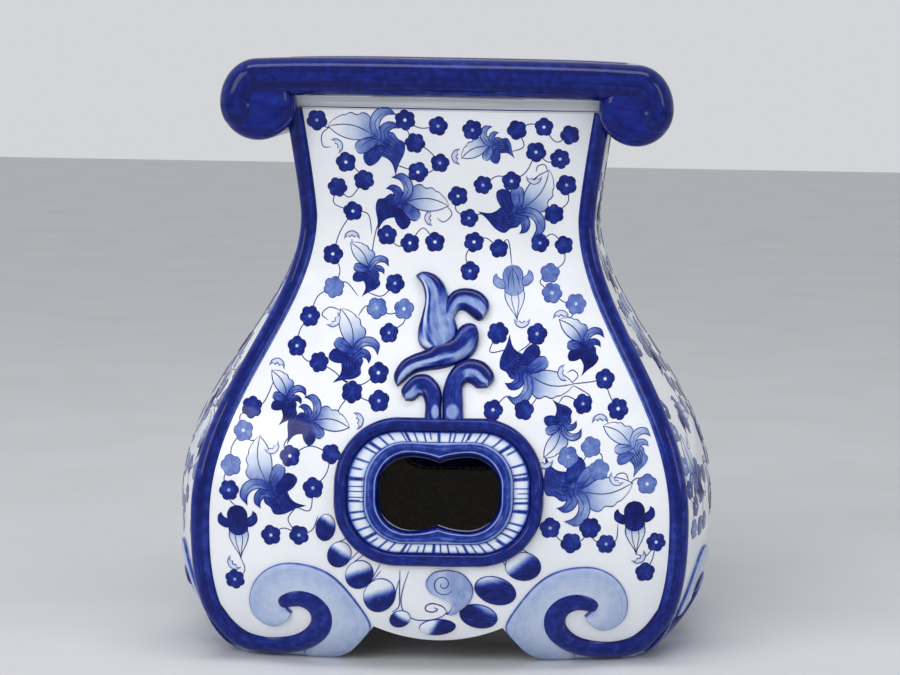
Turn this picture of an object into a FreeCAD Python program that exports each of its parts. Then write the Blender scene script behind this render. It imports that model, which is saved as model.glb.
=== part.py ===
import FreeCAD, Part
import math
import os
import Sketcher

# A waisted square garden stool of glazed stoneware. Four bulging wall panels
# are mitred at the corners, a round rib of clay covers each mitre, and the
# seat slab with its rolled edges and end scrolls closes the neck. The feet
# scrolls, the hand holes' frames and the crests are clay pieces luted on.
# Origin: centre of the footprint on the ground, front towards minus Y.

doc = FreeCAD.newDocument("GardenStool")

# Driving sizes in millimetres
SIZES = {
    "foot_half_width": 144.5,
    "belly_half_width": 182.0,
    "neck_half_width": 109.0,
    "top_half_width": 120.0,
    "belly_height": 109.0,
    "neck_height": 336.0,
    "body_height": 417.0,
    "corner_offset": 31.5,
    "foot_bulge": 16.0,
    "belly_bulge": 29.5,
    "neck_bulge": 9.0,
    "wall": 9.0,
    "belly_rib_radius": 8.5,
    "neck_rib_radius": 7.0,
    "rib_inset": 2.5,
    "collar_height": 10.0,
    "collar_flare": 9.0,
    "seat_thickness": 30.0,
    "crown_rise": 6.5,
    "seat_half_depth": 119.0,
    "edge_roll_radius": 14.5,
    "seat_recess": 18.0,
    "seat_ledge": 17.0,
    "scroll_reach": 143.5,
    "scroll_height": 421.5,
    "scroll_radius": 28.5,
    "scroll_overhang": 2.0,
    "scroll_dome": 20.0,
    "foot_length": 69.0,
    "cusp_distance": 96.0,
    "cusp_height": 31.5,
    "apron_height": 20.0,
    "low_relief": 3.0,
    "middle_relief": 5.0,
    "high_relief": 7.5,
    "hand_hole_height": 135.5,
    "frame_width": 156.5,
    "frame_height": 108.5,
    "frame_corner": 48.0,
    "frame_bead": 10.5,
    "lip_width": 110.0,
    "lip_height": 73.0,
    "lip_corner": 30.0,
    "hole_width": 91.0,
    "hole_height": 56.5,
    "hole_corner": 24.0,
    "hole_dip": 4.5,
}

sheet = doc.addObject("Spreadsheet::Sheet", "Sizes")
for row, (alias, size) in enumerate(SIZES.items(), start=1):
    sheet.set("A%d" % row, alias)
    sheet.set("B%d" % row, str(size))
    sheet.setAlias("B%d" % row, alias)
doc.recompute()


def size(alias):
    return float(sheet.get(alias))


def cell(alias):
    return "Sizes." + alias


# Body profile: each station of the walls mixes two driving sizes by a share.
# The curve rounds out of the ground, swells to the belly, sweeps in to the neck
# as half a cosine wave, and opens a little to the top.
SWELL_POWER = 2.6
SWELL_BEND = 0.72
SWEEP_POWER = 1.08
FLARE_POWER = 1.2
SWELL_SHARES = (0.0, 0.05, 0.12, 0.24, 0.42, 0.68)
SWEEP_SHARES = (0.0, 0.16, 0.32, 0.48, 0.64, 0.8, 1.0)
FLARE_SHARES = (0.5, 1.0)


def mix(low, high, share):
    return (low, high, round(share, 4))


def mixed(parts):
    low, high, share = parts
    start = size(low) if low else 0.0
    return start + (size(high) - start) * share


def mixed_formula(parts):
    low, high, share = parts
    if not low:
        return "%s * %s" % (cell(high), share)
    return "%s + (%s - %s) * %s" % (cell(low), cell(high), cell(low), share)


def stations():
    found = []
    for share in SWELL_SHARES:
        swell = (1.0 - (1.0 - share) ** SWELL_POWER) ** SWELL_BEND
        found.append((
            mix("", "belly_height", share),
            mix("foot_half_width", "belly_half_width", swell),
            mix("foot_bulge", "belly_bulge", swell),
            mix("belly_rib_radius", "belly_rib_radius", 1.0),
        ))
    for share in SWEEP_SHARES:
        sweep = (1.0 - math.cos(math.pi * share ** SWEEP_POWER)) / 2.0
        found.append((
            mix("belly_height", "neck_height", share),
            mix("belly_half_width", "neck_half_width", sweep),
            mix("belly_bulge", "neck_bulge", sweep),
            mix("belly_rib_radius", "neck_rib_radius", sweep),
        ))
    for share in FLARE_SHARES:
        found.append((
            mix("neck_height", "body_height", share),
            mix("neck_half_width", "top_half_width", share ** FLARE_POWER),
            mix("neck_bulge", "neck_bulge", 1.0),
            mix("neck_rib_radius", "neck_rib_radius", 1.0),
        ))
    return found


STATIONS = stations()
RIB_FOOT_STATION = 4


# Plan sections and skins
def arc_over_chord(half_chord, bulge):
    return (half_chord ** 2 + bulge ** 2) / (2.0 * bulge)


def section(name, height, width, bulge, grow, grow_formula):
    """One plan section: four bulged arcs that meet at the stool's corners."""
    across = mixed(width) + grow
    along = across - size("corner_offset")
    rise = mixed(bulge)
    across_formula = "(%s) + %s" % (mixed_formula(width), grow_formula)
    along_formula = "(%s) - %s" % (across_formula, cell("corner_offset"))
    rise_formula = "(%s)" % mixed_formula(bulge)
    sketch = doc.addObject("Sketcher::SketchObject", name)
    corners = ((across, along), (-across, along), (-across, -along), (across, -along))
    chords = (across, along, across, along)
    chord_formulas = (across_formula, along_formula, across_formula, along_formula)
    for side in range(4):
        radius = arc_over_chord(chords[side], rise)
        turn = math.pi / 2.0 * (side + 1)
        reach = (along, across, along, across)[side] + rise - radius
        centre = FreeCAD.Vector(reach * math.cos(turn), reach * math.sin(turn), 0)
        spread = math.asin(chords[side] / radius)
        circle = Part.Circle(centre, FreeCAD.Vector(0, 0, 1), radius)
        sketch.addGeometry(Part.ArcOfCircle(circle, turn - spread, turn + spread), False)
    for side in range(4):
        sketch.addConstraint(
            Sketcher.Constraint("Coincident", side, 2, (side + 1) % 4, 1))
    for side in range(4):
        for axis, value, formula in (
            ("DistanceX", corners[side][0], across_formula),
            ("DistanceY", corners[side][1], along_formula),
        ):
            if value > 0:
                rule = Sketcher.Constraint(axis, -1, 1, side, 1, value)
            else:
                rule = Sketcher.Constraint(axis, side, 1, -1, 1, -value)
            index = sketch.addConstraint(rule)
            sketch.setExpression("Constraints[%d]" % index, formula)
        index = sketch.addConstraint(
            Sketcher.Constraint("Radius", side, arc_over_chord(chords[side], rise)))
        sketch.setExpression(
            "Constraints[%d]" % index,
            "((%s)^2 + (%s)^2) / (2 * (%s))"
            % (chord_formulas[side], rise_formula, rise_formula))
    sketch.Placement.Base.z = mixed(height)
    sketch.setExpression("Placement.Base.z", mixed_formula(height))
    return sketch


def skin(name, grow, grow_formula):
    """A solid of the whole body's outline, grown outwards or inwards."""
    loft = doc.addObject("Part::Loft", name)
    loft.Sections = [
        section("%s_section_%d" % (name, index), height, width, bulge, grow, grow_formula)
        for index, (height, width, bulge, rib) in enumerate(STATIONS)
    ]
    loft.Solid = True
    loft.Ruled = False
    return loft


def cut(name, base, tools):
    """Base less the tools."""
    for index, tool in enumerate(tools):
        last = index == len(tools) - 1
        step = doc.addObject("Part::Cut", name if last else "%s_cut_%d" % (name, index))
        step.Base = base
        step.Tool = tool
        base = step
    return base


def common(name, shapes):
    step = doc.addObject("Part::MultiCommon", name)
    step.Shapes = shapes
    return step


outer_skin = skin("outer_skin", 0.0, "0")
inner_skin = skin("inner_skin", -size("wall"), "0 - " + cell("wall"))
low_skin = skin("low_skin", size("low_relief"), cell("low_relief"))
middle_skin = skin("middle_skin", size("middle_relief"), cell("middle_relief"))
high_skin = skin("high_skin", size("high_relief"), cell("high_relief"))
wall_shell = cut("wall_shell", outer_skin, [inner_skin])
low_shell = cut("low_shell", low_skin, [outer_skin])
middle_shell = cut("middle_shell", middle_skin, [outer_skin])
high_shell = cut("high_shell", high_skin, [outer_skin])
lip_shell = cut("lip_shell", middle_skin, [inner_skin])


# Faces of the stool: a face's sketches are drawn as seen from outside it, with
# x to the viewer's right and y up, and their solids grow outwards from them.
TURNS = {"front": 0.0, "right": 90.0, "back": 180.0, "left": 270.0}
UPRIGHT = FreeCAD.Rotation(FreeCAD.Vector(1, 0, 0), 90)
LONG_REACH = 400.0


def facing(turn):
    return FreeCAD.Placement(
        FreeCAD.Vector(0, 0, 0),
        FreeCAD.Rotation(FreeCAD.Vector(0, 0, 1), turn).multiply(UPRIGHT))


def drawing(name, face, curves):
    sketch = doc.addObject("Sketcher::SketchObject", name)
    for curve in curves:
        sketch.addGeometry(curve, False)
    sketch.Placement = facing(TURNS[face])
    return sketch


def prism(name, face, curves):
    """Solid of an outline on one face, from the middle of the stool outwards."""
    extrusion = doc.addObject("Part::Extrusion", name)
    extrusion.Base = drawing(name + "_outline", face, curves)
    extrusion.DirMode = "Normal"
    extrusion.Solid = True
    extrusion.LengthFwd = LONG_REACH
    extrusion.setExpression(
        "LengthFwd", "%s + %s * 2" % (cell("belly_half_width"), cell("belly_bulge")))
    return extrusion


def point(x, y):
    return FreeCAD.Vector(x, y, 0)


def polygon(points):
    return [
        Part.LineSegment(point(*start), point(*end))
        for start, end in zip(points, points[1:] + points[:1])
    ]


def smooth_loop(points):
    curve = Part.BSplineCurve()
    curve.interpolate(Points=[point(*each) for each in points], PeriodicFlag=True)
    return [curve]


def arc(start, middle, end):
    return Part.Arc(point(*start), point(*middle), point(*end))


def turn_point(centre, radius, degrees):
    angle = math.radians(degrees)
    return (centre[0] + radius * math.cos(angle), centre[1] + radius * math.sin(angle))


def corner_arc(centre, radius, start):
    """Quarter of a circle, anticlockwise from its start angle."""
    return arc(*[turn_point(centre, radius, start + step) for step in (0.0, 45.0, 90.0)])


def rounded_box(width, height, corner, middle):
    """Rounded rectangle centred on the face's own middle line."""
    across = width / 2.0 - corner
    up = height / 2.0 - corner
    right = width / 2.0
    top = middle + height / 2.0
    bottom = middle - height / 2.0
    return [
        Part.LineSegment(point(right, middle - up), point(right, middle + up)),
        corner_arc((across, middle + up), corner, 0.0),
        Part.LineSegment(point(across, top), point(-across, top)),
        corner_arc((-across, middle + up), corner, 90.0),
        Part.LineSegment(point(-right, middle + up), point(-right, middle - up)),
        corner_arc((-across, middle - up), corner, 180.0),
        Part.LineSegment(point(-across, bottom), point(across, bottom)),
        corner_arc((across, middle - up), corner, 270.0),
    ]


# Corner ribs: round coils that cover the mitres, set a little into the corner
def rib_section(name, station):
    height, width, bulge, rib = station
    corner = mixed(width) - size("rib_inset")
    corner_formula = "(%s) - %s" % (mixed_formula(width), cell("rib_inset"))
    sketch = doc.addObject("Sketcher::SketchObject", name)
    sketch.addGeometry(Part.Circle(point(0, 0), point(0, 0) + FreeCAD.Vector(0, 0, 1),
                                   mixed(rib)), False)
    sketch.addConstraint(Sketcher.Constraint("Coincident", 0, 3, -1, 1))
    index = sketch.addConstraint(Sketcher.Constraint("Radius", 0, mixed(rib)))
    sketch.setExpression("Constraints[%d]" % index, mixed_formula(rib))
    sketch.Placement = FreeCAD.Placement(
        FreeCAD.Vector(corner, size("corner_offset") - corner, mixed(height)),
        FreeCAD.Rotation(FreeCAD.Vector(0, 0, 1), 135.0))
    sketch.setExpression("Placement.Base.x", corner_formula)
    sketch.setExpression(
        "Placement.Base.y", "%s - (%s)" % (cell("corner_offset"), corner_formula))
    sketch.setExpression("Placement.Base.z", mixed_formula(height))
    return sketch


def corner_rib(name):
    rib = doc.addObject("Part::Loft", name)
    rib.Sections = [
        rib_section("rib_section_%d" % index, station)
        for index, station in enumerate(STATIONS) if index >= RIB_FOOT_STATION
    ]
    rib.Solid = True
    rib.Ruled = False
    return rib


def mirrored(name, base, normal):
    copy = doc.addObject("Part::Mirroring", name)
    copy.Source = base
    copy.Normal = normal
    return copy


def turned(name, base, turn):
    copy = doc.addObject("Part::Compound", name)
    copy.Links = [base]
    copy.Placement = FreeCAD.Placement(
        FreeCAD.Vector(0, 0, 0), FreeCAD.Rotation(FreeCAD.Vector(0, 0, 1), turn))
    return copy


ACROSS = FreeCAD.Vector(1, 0, 0)
ALONG = FreeCAD.Vector(0, 1, 0)
front_right_rib = corner_rib("front_right_rib")
front_left_rib = mirrored("front_left_rib", front_right_rib, ACROSS)
back_right_rib = mirrored("back_right_rib", front_right_rib, ALONG)
back_left_rib = mirrored("back_left_rib", front_left_rib, ALONG)
all_ribs = doc.addObject("Part::Compound", "all_ribs")
all_ribs.Links = [front_right_rib, front_left_rib, back_right_rib, back_left_rib]
wall_between_ribs = cut("wall_between_ribs", wall_shell, [all_ribs])
low_between_ribs = cut("low_between_ribs", low_shell, [all_ribs])
middle_between_ribs = cut("middle_between_ribs", middle_shell, [all_ribs])


# Wedges between the corner planes: each holds one face's share of the walls
def wedge(name, face):
    """Standing wedge bounded by the two 45 degree planes through the corners."""
    offset = size("corner_offset")
    apex = 0.0 if face in ("front", "back") else offset
    half_apex = offset if face in ("front", "back") else 0.0
    reach = LONG_REACH
    spread = reach - apex + half_apex
    sketch = doc.addObject("Sketcher::SketchObject", name + "_outline")
    for line in polygon([(-half_apex, -apex), (-spread, -reach), (spread, -reach),
                         (half_apex, -apex)][: 4 if half_apex else 3]):
        sketch.addGeometry(line, False)
    sketch.Placement.Rotation = FreeCAD.Rotation(FreeCAD.Vector(0, 0, 1), TURNS[face])
    extrusion = doc.addObject("Part::Extrusion", name)
    extrusion.Base = sketch
    extrusion.DirMode = "Normal"
    extrusion.Solid = True
    extrusion.LengthFwd = size("body_height")
    extrusion.setExpression("LengthFwd", cell("body_height"))
    return extrusion


# Lower edge of a wall: two feet, two cusps and the apron's shallow curve
KNEE_ACROSS = 0.4
KNEE_RISE = 0.33
BELOW_GROUND = -1.0


def foot_edge(face):
    """The feet's half width on a face, out to the corner at the ground."""
    inset = 0.0 if face in ("front", "back") else size("corner_offset")
    return size("foot_half_width") - inset


def below_apron(face):
    foot = foot_edge(face) - size("foot_length")
    cusp = foot_edge(face) - size("cusp_distance")
    high = size("cusp_height")
    low = size("apron_height")
    knee = (foot + (cusp - foot) * KNEE_ACROSS, high * KNEE_RISE)
    knee_left = (-knee[0], knee[1])
    depth = BELOW_GROUND
    return [
        arc((foot, depth), knee, (cusp, high)),
        arc((cusp, high), (0.0, low), (-cusp, high)),
        arc((-cusp, high), knee_left, (-foot, depth)),
        Part.LineSegment(point(-foot, depth), point(foot, depth)),
    ]


# Hand hole: a rounded box whose long edges each bow inwards to a point, like a
# pair of braces
def hole_outline():
    corner = size("hole_corner")
    middle = size("hand_hole_height")
    right = size("hole_width") / 2.0
    across = right - corner
    half = size("hole_height") / 2.0
    up = half - corner
    dip = size("hole_dip")
    radius = (across ** 2 + dip ** 2) / (2.0 * dip)
    sag = radius - math.sqrt(radius ** 2 - across ** 2 / 4.0)
    top = middle + half
    bottom = middle - half
    return [
        Part.LineSegment(point(right, middle - up), point(right, middle + up)),
        corner_arc((across, middle + up), corner, 0.0),
        arc((across, top), (across / 2.0, top - sag), (0.0, top - dip)),
        arc((0.0, top - dip), (-across / 2.0, top - sag), (-across, top)),
        corner_arc((-across, middle + up), corner, 90.0),
        Part.LineSegment(point(-right, middle + up), point(-right, middle - up)),
        corner_arc((-across, middle - up), corner, 180.0),
        arc((-across, bottom), (-across / 2.0, bottom + sag), (0.0, bottom + dip)),
        arc((0.0, bottom + dip), (across / 2.0, bottom + sag), (across, bottom)),
        corner_arc((across, middle - up), corner, 270.0),
    ]


def lip_outline():
    return rounded_box(
        size("lip_width"), size("lip_height"), size("lip_corner"), size("hand_hole_height"))


def flute_outline():
    bead = size("frame_bead")
    return rounded_box(
        size("frame_width") - 2.0 * bead, size("frame_height") - 2.0 * bead,
        size("frame_corner") - bead, size("hand_hole_height"))


def bead_outline():
    return rounded_box(
        size("frame_width"), size("frame_height"), size("frame_corner"),
        size("hand_hole_height"))


frame_prism = prism("frame_prism", "front", bead_outline())
flute_prism = prism("flute_prism", "front", flute_outline())
lip_prism = prism("lip_prism", "front", lip_outline())
hand_hole = prism("hand_hole", "front", hole_outline())

wedges = {face: wedge(face + "_wedge", face) for face in ("front", "right")}
apron_cuts = {
    face: prism(face + "_apron_cut", face, below_apron(face)) for face in ("front", "right")
}


def wall_panel(name, face, holes):
    blank = common(name + "_blank", [wall_between_ribs, wedges[face]])
    return cut(name, blank, [apron_cuts[face]] + holes)


front_panel = wall_panel("front_panel", "front", [lip_prism])
right_panel = wall_panel("right_panel", "right", [])
back_panel = turned("back_panel", front_panel, 180)
left_panel = turned("left_panel", right_panel, 180)

# Hand hole's frame: a thick outer bead, a hollowed flute inside it and an inner
# lip that lines the hole through the wall
front_frame_bead = cut(
    "front_frame_bead", common("frame_bead_blank", [frame_prism, high_shell]), [flute_prism])
front_frame_flute = cut(
    "front_frame_flute", common("frame_flute_blank", [flute_prism, low_shell]), [lip_prism])
front_hole_lip = cut(
    "front_hole_lip", common("hole_lip_blank", [lip_prism, lip_shell]), [hand_hole])

# Foot scrolls. Their lines are drawn on the face's right-hand foot, each point
# as a distance in from the ground corner and a height. The dark curl leaves the
# corner rib, runs along the foot and winds up to a round end inside the pale
# cloud.
CURL_LINE = (
    # distance, height, half width
    (-36.5, 74.0, 6.5),
    (-33.0, 52.0, 7.8),
    (-26.5, 37.0, 8.2),
    (-17.5, 23.5, 8.4),
    (-5.0, 13.5, 8.0),
    (10.0, 9.8, 7.3),
    (24.0, 10.2, 7.4),
    (38.5, 14.0, 7.6),
    (49.5, 21.0, 8.2),
    (56.6, 31.0, 9.0),
    (57.2, 42.0, 9.4),
    (51.5, 50.0, 8.8),
    (42.5, 52.8, 7.6),
    (34.0, 50.5, 6.4),
    (28.5, 45.5, 5.0),
)
CURL_TIP_REACH = 1.2
CURL_TIP_DROP = 0.6
CLOUD_OUTER = (
    (32.5, 38.0),
    (29.5, 32.0),
    (21.5, 28.5),
    (11.5, 30.5),
    (3.5, 39.0),
    (2.0, 52.0),
    (6.5, 65.0),
    (17.0, 75.5),
    (32.0, 80.5),
    (52.0, 78.5),
    (68.5, 70.0),
    (84.5, 51.0),
    (93.5, 32.5),
)
PAST_CORNER = 60.0


def band_outline(line, corner):
    """Closed smooth outline round a line of points with their half widths."""
    outer = []
    inner = []
    last = len(line) - 1
    for index, (distance, height, half) in enumerate(line):
        before = line[max(index - 1, 0)]
        after = line[min(index + 1, last)]
        run = (before[0] - after[0], after[1] - before[1])
        length = math.hypot(*run)
        aside = (-run[1] / length * half, run[0] / length * half)
        middle = (corner - distance, height)
        outer.append((middle[0] - aside[0], middle[1] - aside[1]))
        inner.append((middle[0] + aside[0], middle[1] + aside[1]))
    end_distance, end_height, end_half = line[last]
    tip = (corner - end_distance + end_half * CURL_TIP_REACH,
           end_height - end_half * CURL_TIP_DROP)
    return smooth_loop(outer + [tip] + inner[::-1])


def curl_prism(name, face):
    return prism(name, face, band_outline(CURL_LINE, foot_edge(face)))


def cloud_prism(name, face):
    """Pale part of the foot: its free edge, then back along the curl's line."""
    corner = foot_edge(face)
    free_edge = [point(corner - distance, height) for distance, height in CLOUD_OUTER]
    edge = Part.BSplineCurve()
    edge.interpolate(free_edge)
    ground = 2.0 * BELOW_GROUND
    foot = (corner - size("foot_length"), ground)
    last = (corner - CLOUD_OUTER[-1][0], CLOUD_OUTER[-1][1])
    far = corner + PAST_CORNER
    back = [point(corner - each[0], each[1]) for each in CURL_LINE[1:]]
    line = Part.BSplineCurve()
    line.interpolate(back)
    first = back[0]
    start = free_edge[0]
    return prism(name, face, [
        edge,
        Part.LineSegment(point(*last), point(*foot)),
        Part.LineSegment(point(*foot), point(far, ground)),
        Part.LineSegment(point(far, ground), point(far, first.y)),
        Part.LineSegment(point(far, first.y), first),
        line,
        Part.LineSegment(back[-1], start),
    ])


def foot_pieces(face):
    """Right-hand curl and cloud of one face, each mirrored to the left hand."""
    across = ACROSS if face == "front" else ALONG
    curl_solid = curl_prism(face + "_curl_prism", face)
    cloud_solid = cloud_prism(face + "_cloud_prism", face)
    curl = common(
        face + "_face_right_curl", [curl_solid, middle_between_ribs, wedges[face]])
    cloud = cut(
        face + "_face_right_cloud",
        common(face + "_cloud_blank", [cloud_solid, low_between_ribs, wedges[face]]),
        [curl_solid, apron_cuts[face]])
    return [
        curl,
        cloud,
        mirrored(face + "_face_left_curl", curl, across),
        mirrored(face + "_face_left_cloud", cloud, across),
    ]


front_feet = foot_pieces("front")
right_feet = foot_pieces("right")

# Crest over the hand hole: four sprigs whose heights count from the frame's
# top. Two stems curl outwards, a long petal sweeps across them and a tall leaf
# with a hooked side lobe stands on it.
LEFT_STEM = ((-13, -3), (-12, 11), (-16, 16.5), (-20.5, 14), (-25.5, 13), (-31, 17.5),
             (-26, 27), (-15, 32), (-5, 27), (-0.7, 15.5), (-0.7, -3))
RIGHT_STEM = ((0.7, -3), (1.2, 15.5), (5, 28), (12, 37.5), (20, 43), (31, 40.5), (38.5, 33),
              (35.5, 27), (29, 24), (23, 27), (19, 30), (15, 23), (15.5, 10.5), (15, -3))
SWEEP = ((-35.5, 30), (-29.5, 38.5), (-20, 44.5), (-10, 47), (0, 51), (8, 60.5), (14, 66.5), (20, 67),
         (25.5, 58.5), (24.5, 49), (16, 41.5), (5, 34.5), (-8, 33), (-18, 32), (-26.5, 27), (-32.5, 22))
LEAF = ((-24.5, 102), (-16, 104), (-5, 98), (0, 85.5), (7, 90.5), (15, 91.5), (26.5, 87.5), (32.5, 79),
        (29.5, 71.5), (23.5, 69.5), (15, 72), (9, 77), (8, 69.5), (8, 59.5), (1, 51), (-9, 48), (-17, 49),
        (-22, 57), (-21, 64.5), (-18, 81), (-18, 91.5))


def sprig(name, outline):
    base = size("hand_hole_height") + size("frame_height") / 2.0
    return prism(name, "front", smooth_loop([(x, base + y) for x, y in outline]))


left_stem_prism = sprig("left_stem_prism", LEFT_STEM)
right_stem_prism = sprig("right_stem_prism", RIGHT_STEM)
sweep_prism = sprig("sweep_prism", SWEEP)
leaf_prism = sprig("leaf_prism", LEAF)
front_crest_left_stem = cut(
    "front_crest_left_stem",
    common("left_stem_blank", [left_stem_prism, high_shell]), [frame_prism])
front_crest_right_stem = cut(
    "front_crest_right_stem",
    common("right_stem_blank", [right_stem_prism, high_shell]),
    [frame_prism, left_stem_prism])
front_crest_petal = cut(
    "front_crest_petal",
    common("crest_petal_blank", [sweep_prism, high_shell]),
    [left_stem_prism, right_stem_prism])
front_crest_leaf = cut(
    "front_crest_leaf",
    common("crest_leaf_blank", [leaf_prism, high_shell]), [sweep_prism])

# Petals that hang round the frame's lower half, and the comma between them
PETALS = (
    # side offset, drop below the hole's middle, half length, half width, lean
    (-84.0, 27.0, 9.5, 6.2, 10.0),
    (-74.5, 47.0, 9.0, 7.8, 30.0),
    (-59.5, 61.0, 12.5, 8.5, 35.0),
    (-44.0, 77.0, 13.5, 10.5, 25.0),
    (-31.5, 96.5, 7.5, 6.8, 10.0),
    (-3.0, 103.5, 12.0, 6.5, 85.0),
    (30.5, 94.0, 14.0, 9.0, 75.0),
    (42.0, 72.5, 15.0, 10.0, 70.0),
    (62.5, 53.0, 12.5, 10.0, 80.0),
)
COMMA = ((-9, -54), (-13, -64), (-6, -73), (3, -78), (0, -88), (9, -92), (20, -83), (26, -70),
         (20, -58), (6, -52))


def petal_prism(name, side, drop, half_length, half_width, lean):
    """Oval petal whose long axis leans from upright by the given angle."""
    centre = point(side, size("hand_hole_height") - drop)
    turn = math.radians(90.0 - lean if side < 0 else 90.0 + lean)
    tip = centre + point(math.cos(turn) * half_length, math.sin(turn) * half_length)
    flank = centre + point(-math.sin(turn) * half_width, math.cos(turn) * half_width)
    return prism(name, "front", [Part.Ellipse(tip, flank, centre)])


comma_prism = prism("comma_prism", "front", smooth_loop(
    [(x, size("hand_hole_height") + y) for x, y in COMMA]))
petal_solids = [
    petal_prism("petal_prism_%d" % index, *petal) for index, petal in enumerate(PETALS)
]
all_petals = doc.addObject("Part::Compound", "all_petals")
all_petals.Links = petal_solids
front_petals = cut(
    "front_petals",
    common("petals_blank", [all_petals, low_shell]), [frame_prism, comma_prism])
front_comma = cut(
    "front_comma", common("comma_blank", [comma_prism, low_shell]), [frame_prism])

# Neck collar: a small white cove that opens from the neck to the seat's rolls
def collar_loft(name, low_grow, high_grow):
    """Ring solid from the walls' top edge up; each grow is a value and its formula."""
    rings = []
    for end, (grow, formula) in (("low", low_grow), ("high", high_grow)):
        height, width, bulge, rib = STATIONS[-1]
        rings.append(section("%s_%s" % (name, end), height, width, bulge, grow, formula))
    rings[1].Placement.Base.z = size("body_height") + size("collar_height")
    rings[1].setExpression(
        "Placement.Base.z", "%s + %s" % (cell("body_height"), cell("collar_height")))
    loft = doc.addObject("Part::Loft", name)
    loft.Sections = rings
    loft.Solid = True
    loft.Ruled = True
    return loft


collar_outer = collar_loft(
    "collar_outer", (0.0, "0"), (size("collar_flare"), cell("collar_flare")))
collar_inner = collar_loft(
    "collar_inner", (-size("wall"), "0 - " + cell("wall")),
    (-size("wall"), "0 - " + cell("wall")))
neck_collar = cut("neck_collar", collar_outer, [collar_inner])

# Seat: two end scrolls, two edge rolls and the crowned slab between them
def end_scroll(name, side):
    length = 2.0 * (size("seat_half_depth") + size("scroll_overhang"))
    core = doc.addObject("Part::Cylinder", name + "_coil")
    core.Radius = size("scroll_radius")
    core.setExpression("Radius", cell("scroll_radius"))
    core.Height = length
    core.setExpression(
        "Height", "2 * (%s + %s)" % (cell("seat_half_depth"), cell("scroll_overhang")))
    core.Placement = FreeCAD.Placement(
        FreeCAD.Vector(side * size("scroll_reach"), length / 2.0, size("scroll_height")),
        UPRIGHT)
    core.setExpression("Placement.Base.x", "%d * %s" % (side, cell("scroll_reach")))
    core.setExpression(
        "Placement.Base.y", "%s + %s" % (cell("seat_half_depth"), cell("scroll_overhang")))
    core.setExpression("Placement.Base.z", cell("scroll_height"))
    doc.recompute()
    domed = doc.addObject("Part::Fillet", name + "_domed")
    domed.Base = core
    dome = min(size("scroll_dome"), size("scroll_radius") - 1.0)
    domed.Edges = [
        (index + 1, dome, dome) for index, edge in enumerate(core.Shape.Edges)
        if len(edge.Vertexes) == 1
    ]
    return domed


def crown_radius():
    return (size("scroll_reach") ** 2 + size("crown_rise") ** 2) / (2.0 * size("crown_rise"))


def edge_roll(name, side):
    """Round coil along the seat's edge, bent to the crown's large radius."""
    radius = crown_radius() - size("edge_roll_radius")
    top = size("body_height") + size("collar_height") + size("seat_thickness")
    centre_height = top - crown_radius()
    half_turn = math.degrees(math.asin(size("scroll_reach") / crown_radius()))
    ring = doc.addObject("Part::Torus", name)
    ring.Radius1 = radius
    ring.Radius2 = size("edge_roll_radius")
    ring.Angle3 = 2.0 * half_turn
    ring.Placement = FreeCAD.Placement(
        FreeCAD.Vector(
            0, side * (size("seat_half_depth") - size("edge_roll_radius")), centre_height),
        UPRIGHT.multiply(FreeCAD.Rotation(FreeCAD.Vector(0, 0, 1), 90.0 - half_turn)))
    return ring


left_coil = end_scroll("left_coil", -1)
right_coil = end_scroll("right_coil", 1)
front_coil = edge_roll("front_coil", -1)
back_coil = edge_roll("back_coil", 1)


def seat_profile():
    """Crowned strip from one scroll's axis to the other, seen from the front."""
    reach = size("scroll_reach")
    bottom = size("body_height") + size("collar_height")
    top = bottom + size("seat_thickness")
    shoulder = top - size("crown_rise")
    return [
        arc((reach, shoulder), (0.0, top), (-reach, shoulder)),
        Part.LineSegment(point(-reach, shoulder), point(-reach, bottom)),
        Part.LineSegment(point(-reach, bottom), point(reach, bottom)),
        Part.LineSegment(point(reach, bottom), point(reach, shoulder)),
    ]


seat_blank = doc.addObject("Part::Extrusion", "seat_blank")
seat_blank.Base = drawing("seat_blank_outline", "front", seat_profile())
seat_blank.DirMode = "Normal"
seat_blank.Solid = True
seat_blank.Symmetric = True
seat_blank.LengthFwd = 2.0 * (size("seat_half_depth") - size("edge_roll_radius"))
seat_blank.setExpression(
    "LengthFwd", "2 * (%s - %s)" % (cell("seat_half_depth"), cell("edge_roll_radius")))
seat_recess = doc.addObject("Part::Box", "seat_recess")
for side, half, formula in (
    ("Length", size("top_half_width") - size("seat_ledge"), "%s - %s" % (
        cell("top_half_width"), cell("seat_ledge"))),
    ("Width", size("top_half_width") - size("seat_ledge") - size("corner_offset"),
     "%s - %s - %s" % (cell("top_half_width"), cell("seat_ledge"), cell("corner_offset"))),
):
    setattr(seat_recess, side, 2.0 * half)
    seat_recess.setExpression(side, "2 * (%s)" % formula)
seat_recess.Height = size("seat_recess")
seat_recess.setExpression("Height", cell("seat_recess"))
seat_recess.Placement.Base = FreeCAD.Vector(
    -seat_recess.Length.Value / 2.0, -seat_recess.Width.Value / 2.0,
    size("body_height") + size("collar_height"))
seat_recess.setExpression("Placement.Base.x", "%s - %s" % (
    cell("seat_ledge"), cell("top_half_width")))
seat_recess.setExpression("Placement.Base.y", "%s + %s - %s" % (
    cell("seat_ledge"), cell("corner_offset"), cell("top_half_width")))
seat_recess.setExpression(
    "Placement.Base.z", "%s + %s" % (cell("body_height"), cell("collar_height")))
seat_slab = cut("seat_slab", seat_blank, [
    left_coil, right_coil, front_coil, back_coil, seat_recess])
front_roll = cut("front_roll", front_coil, [left_coil, right_coil])
back_roll = cut("back_roll", back_coil, [left_coil, right_coil])
right_scroll = cut("right_scroll", right_coil, [
    outer_skin, collar_outer, front_right_rib, back_right_rib])
left_scroll = cut("left_scroll", left_coil, [
    outer_skin, collar_outer, front_left_rib, back_left_rib])

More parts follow.
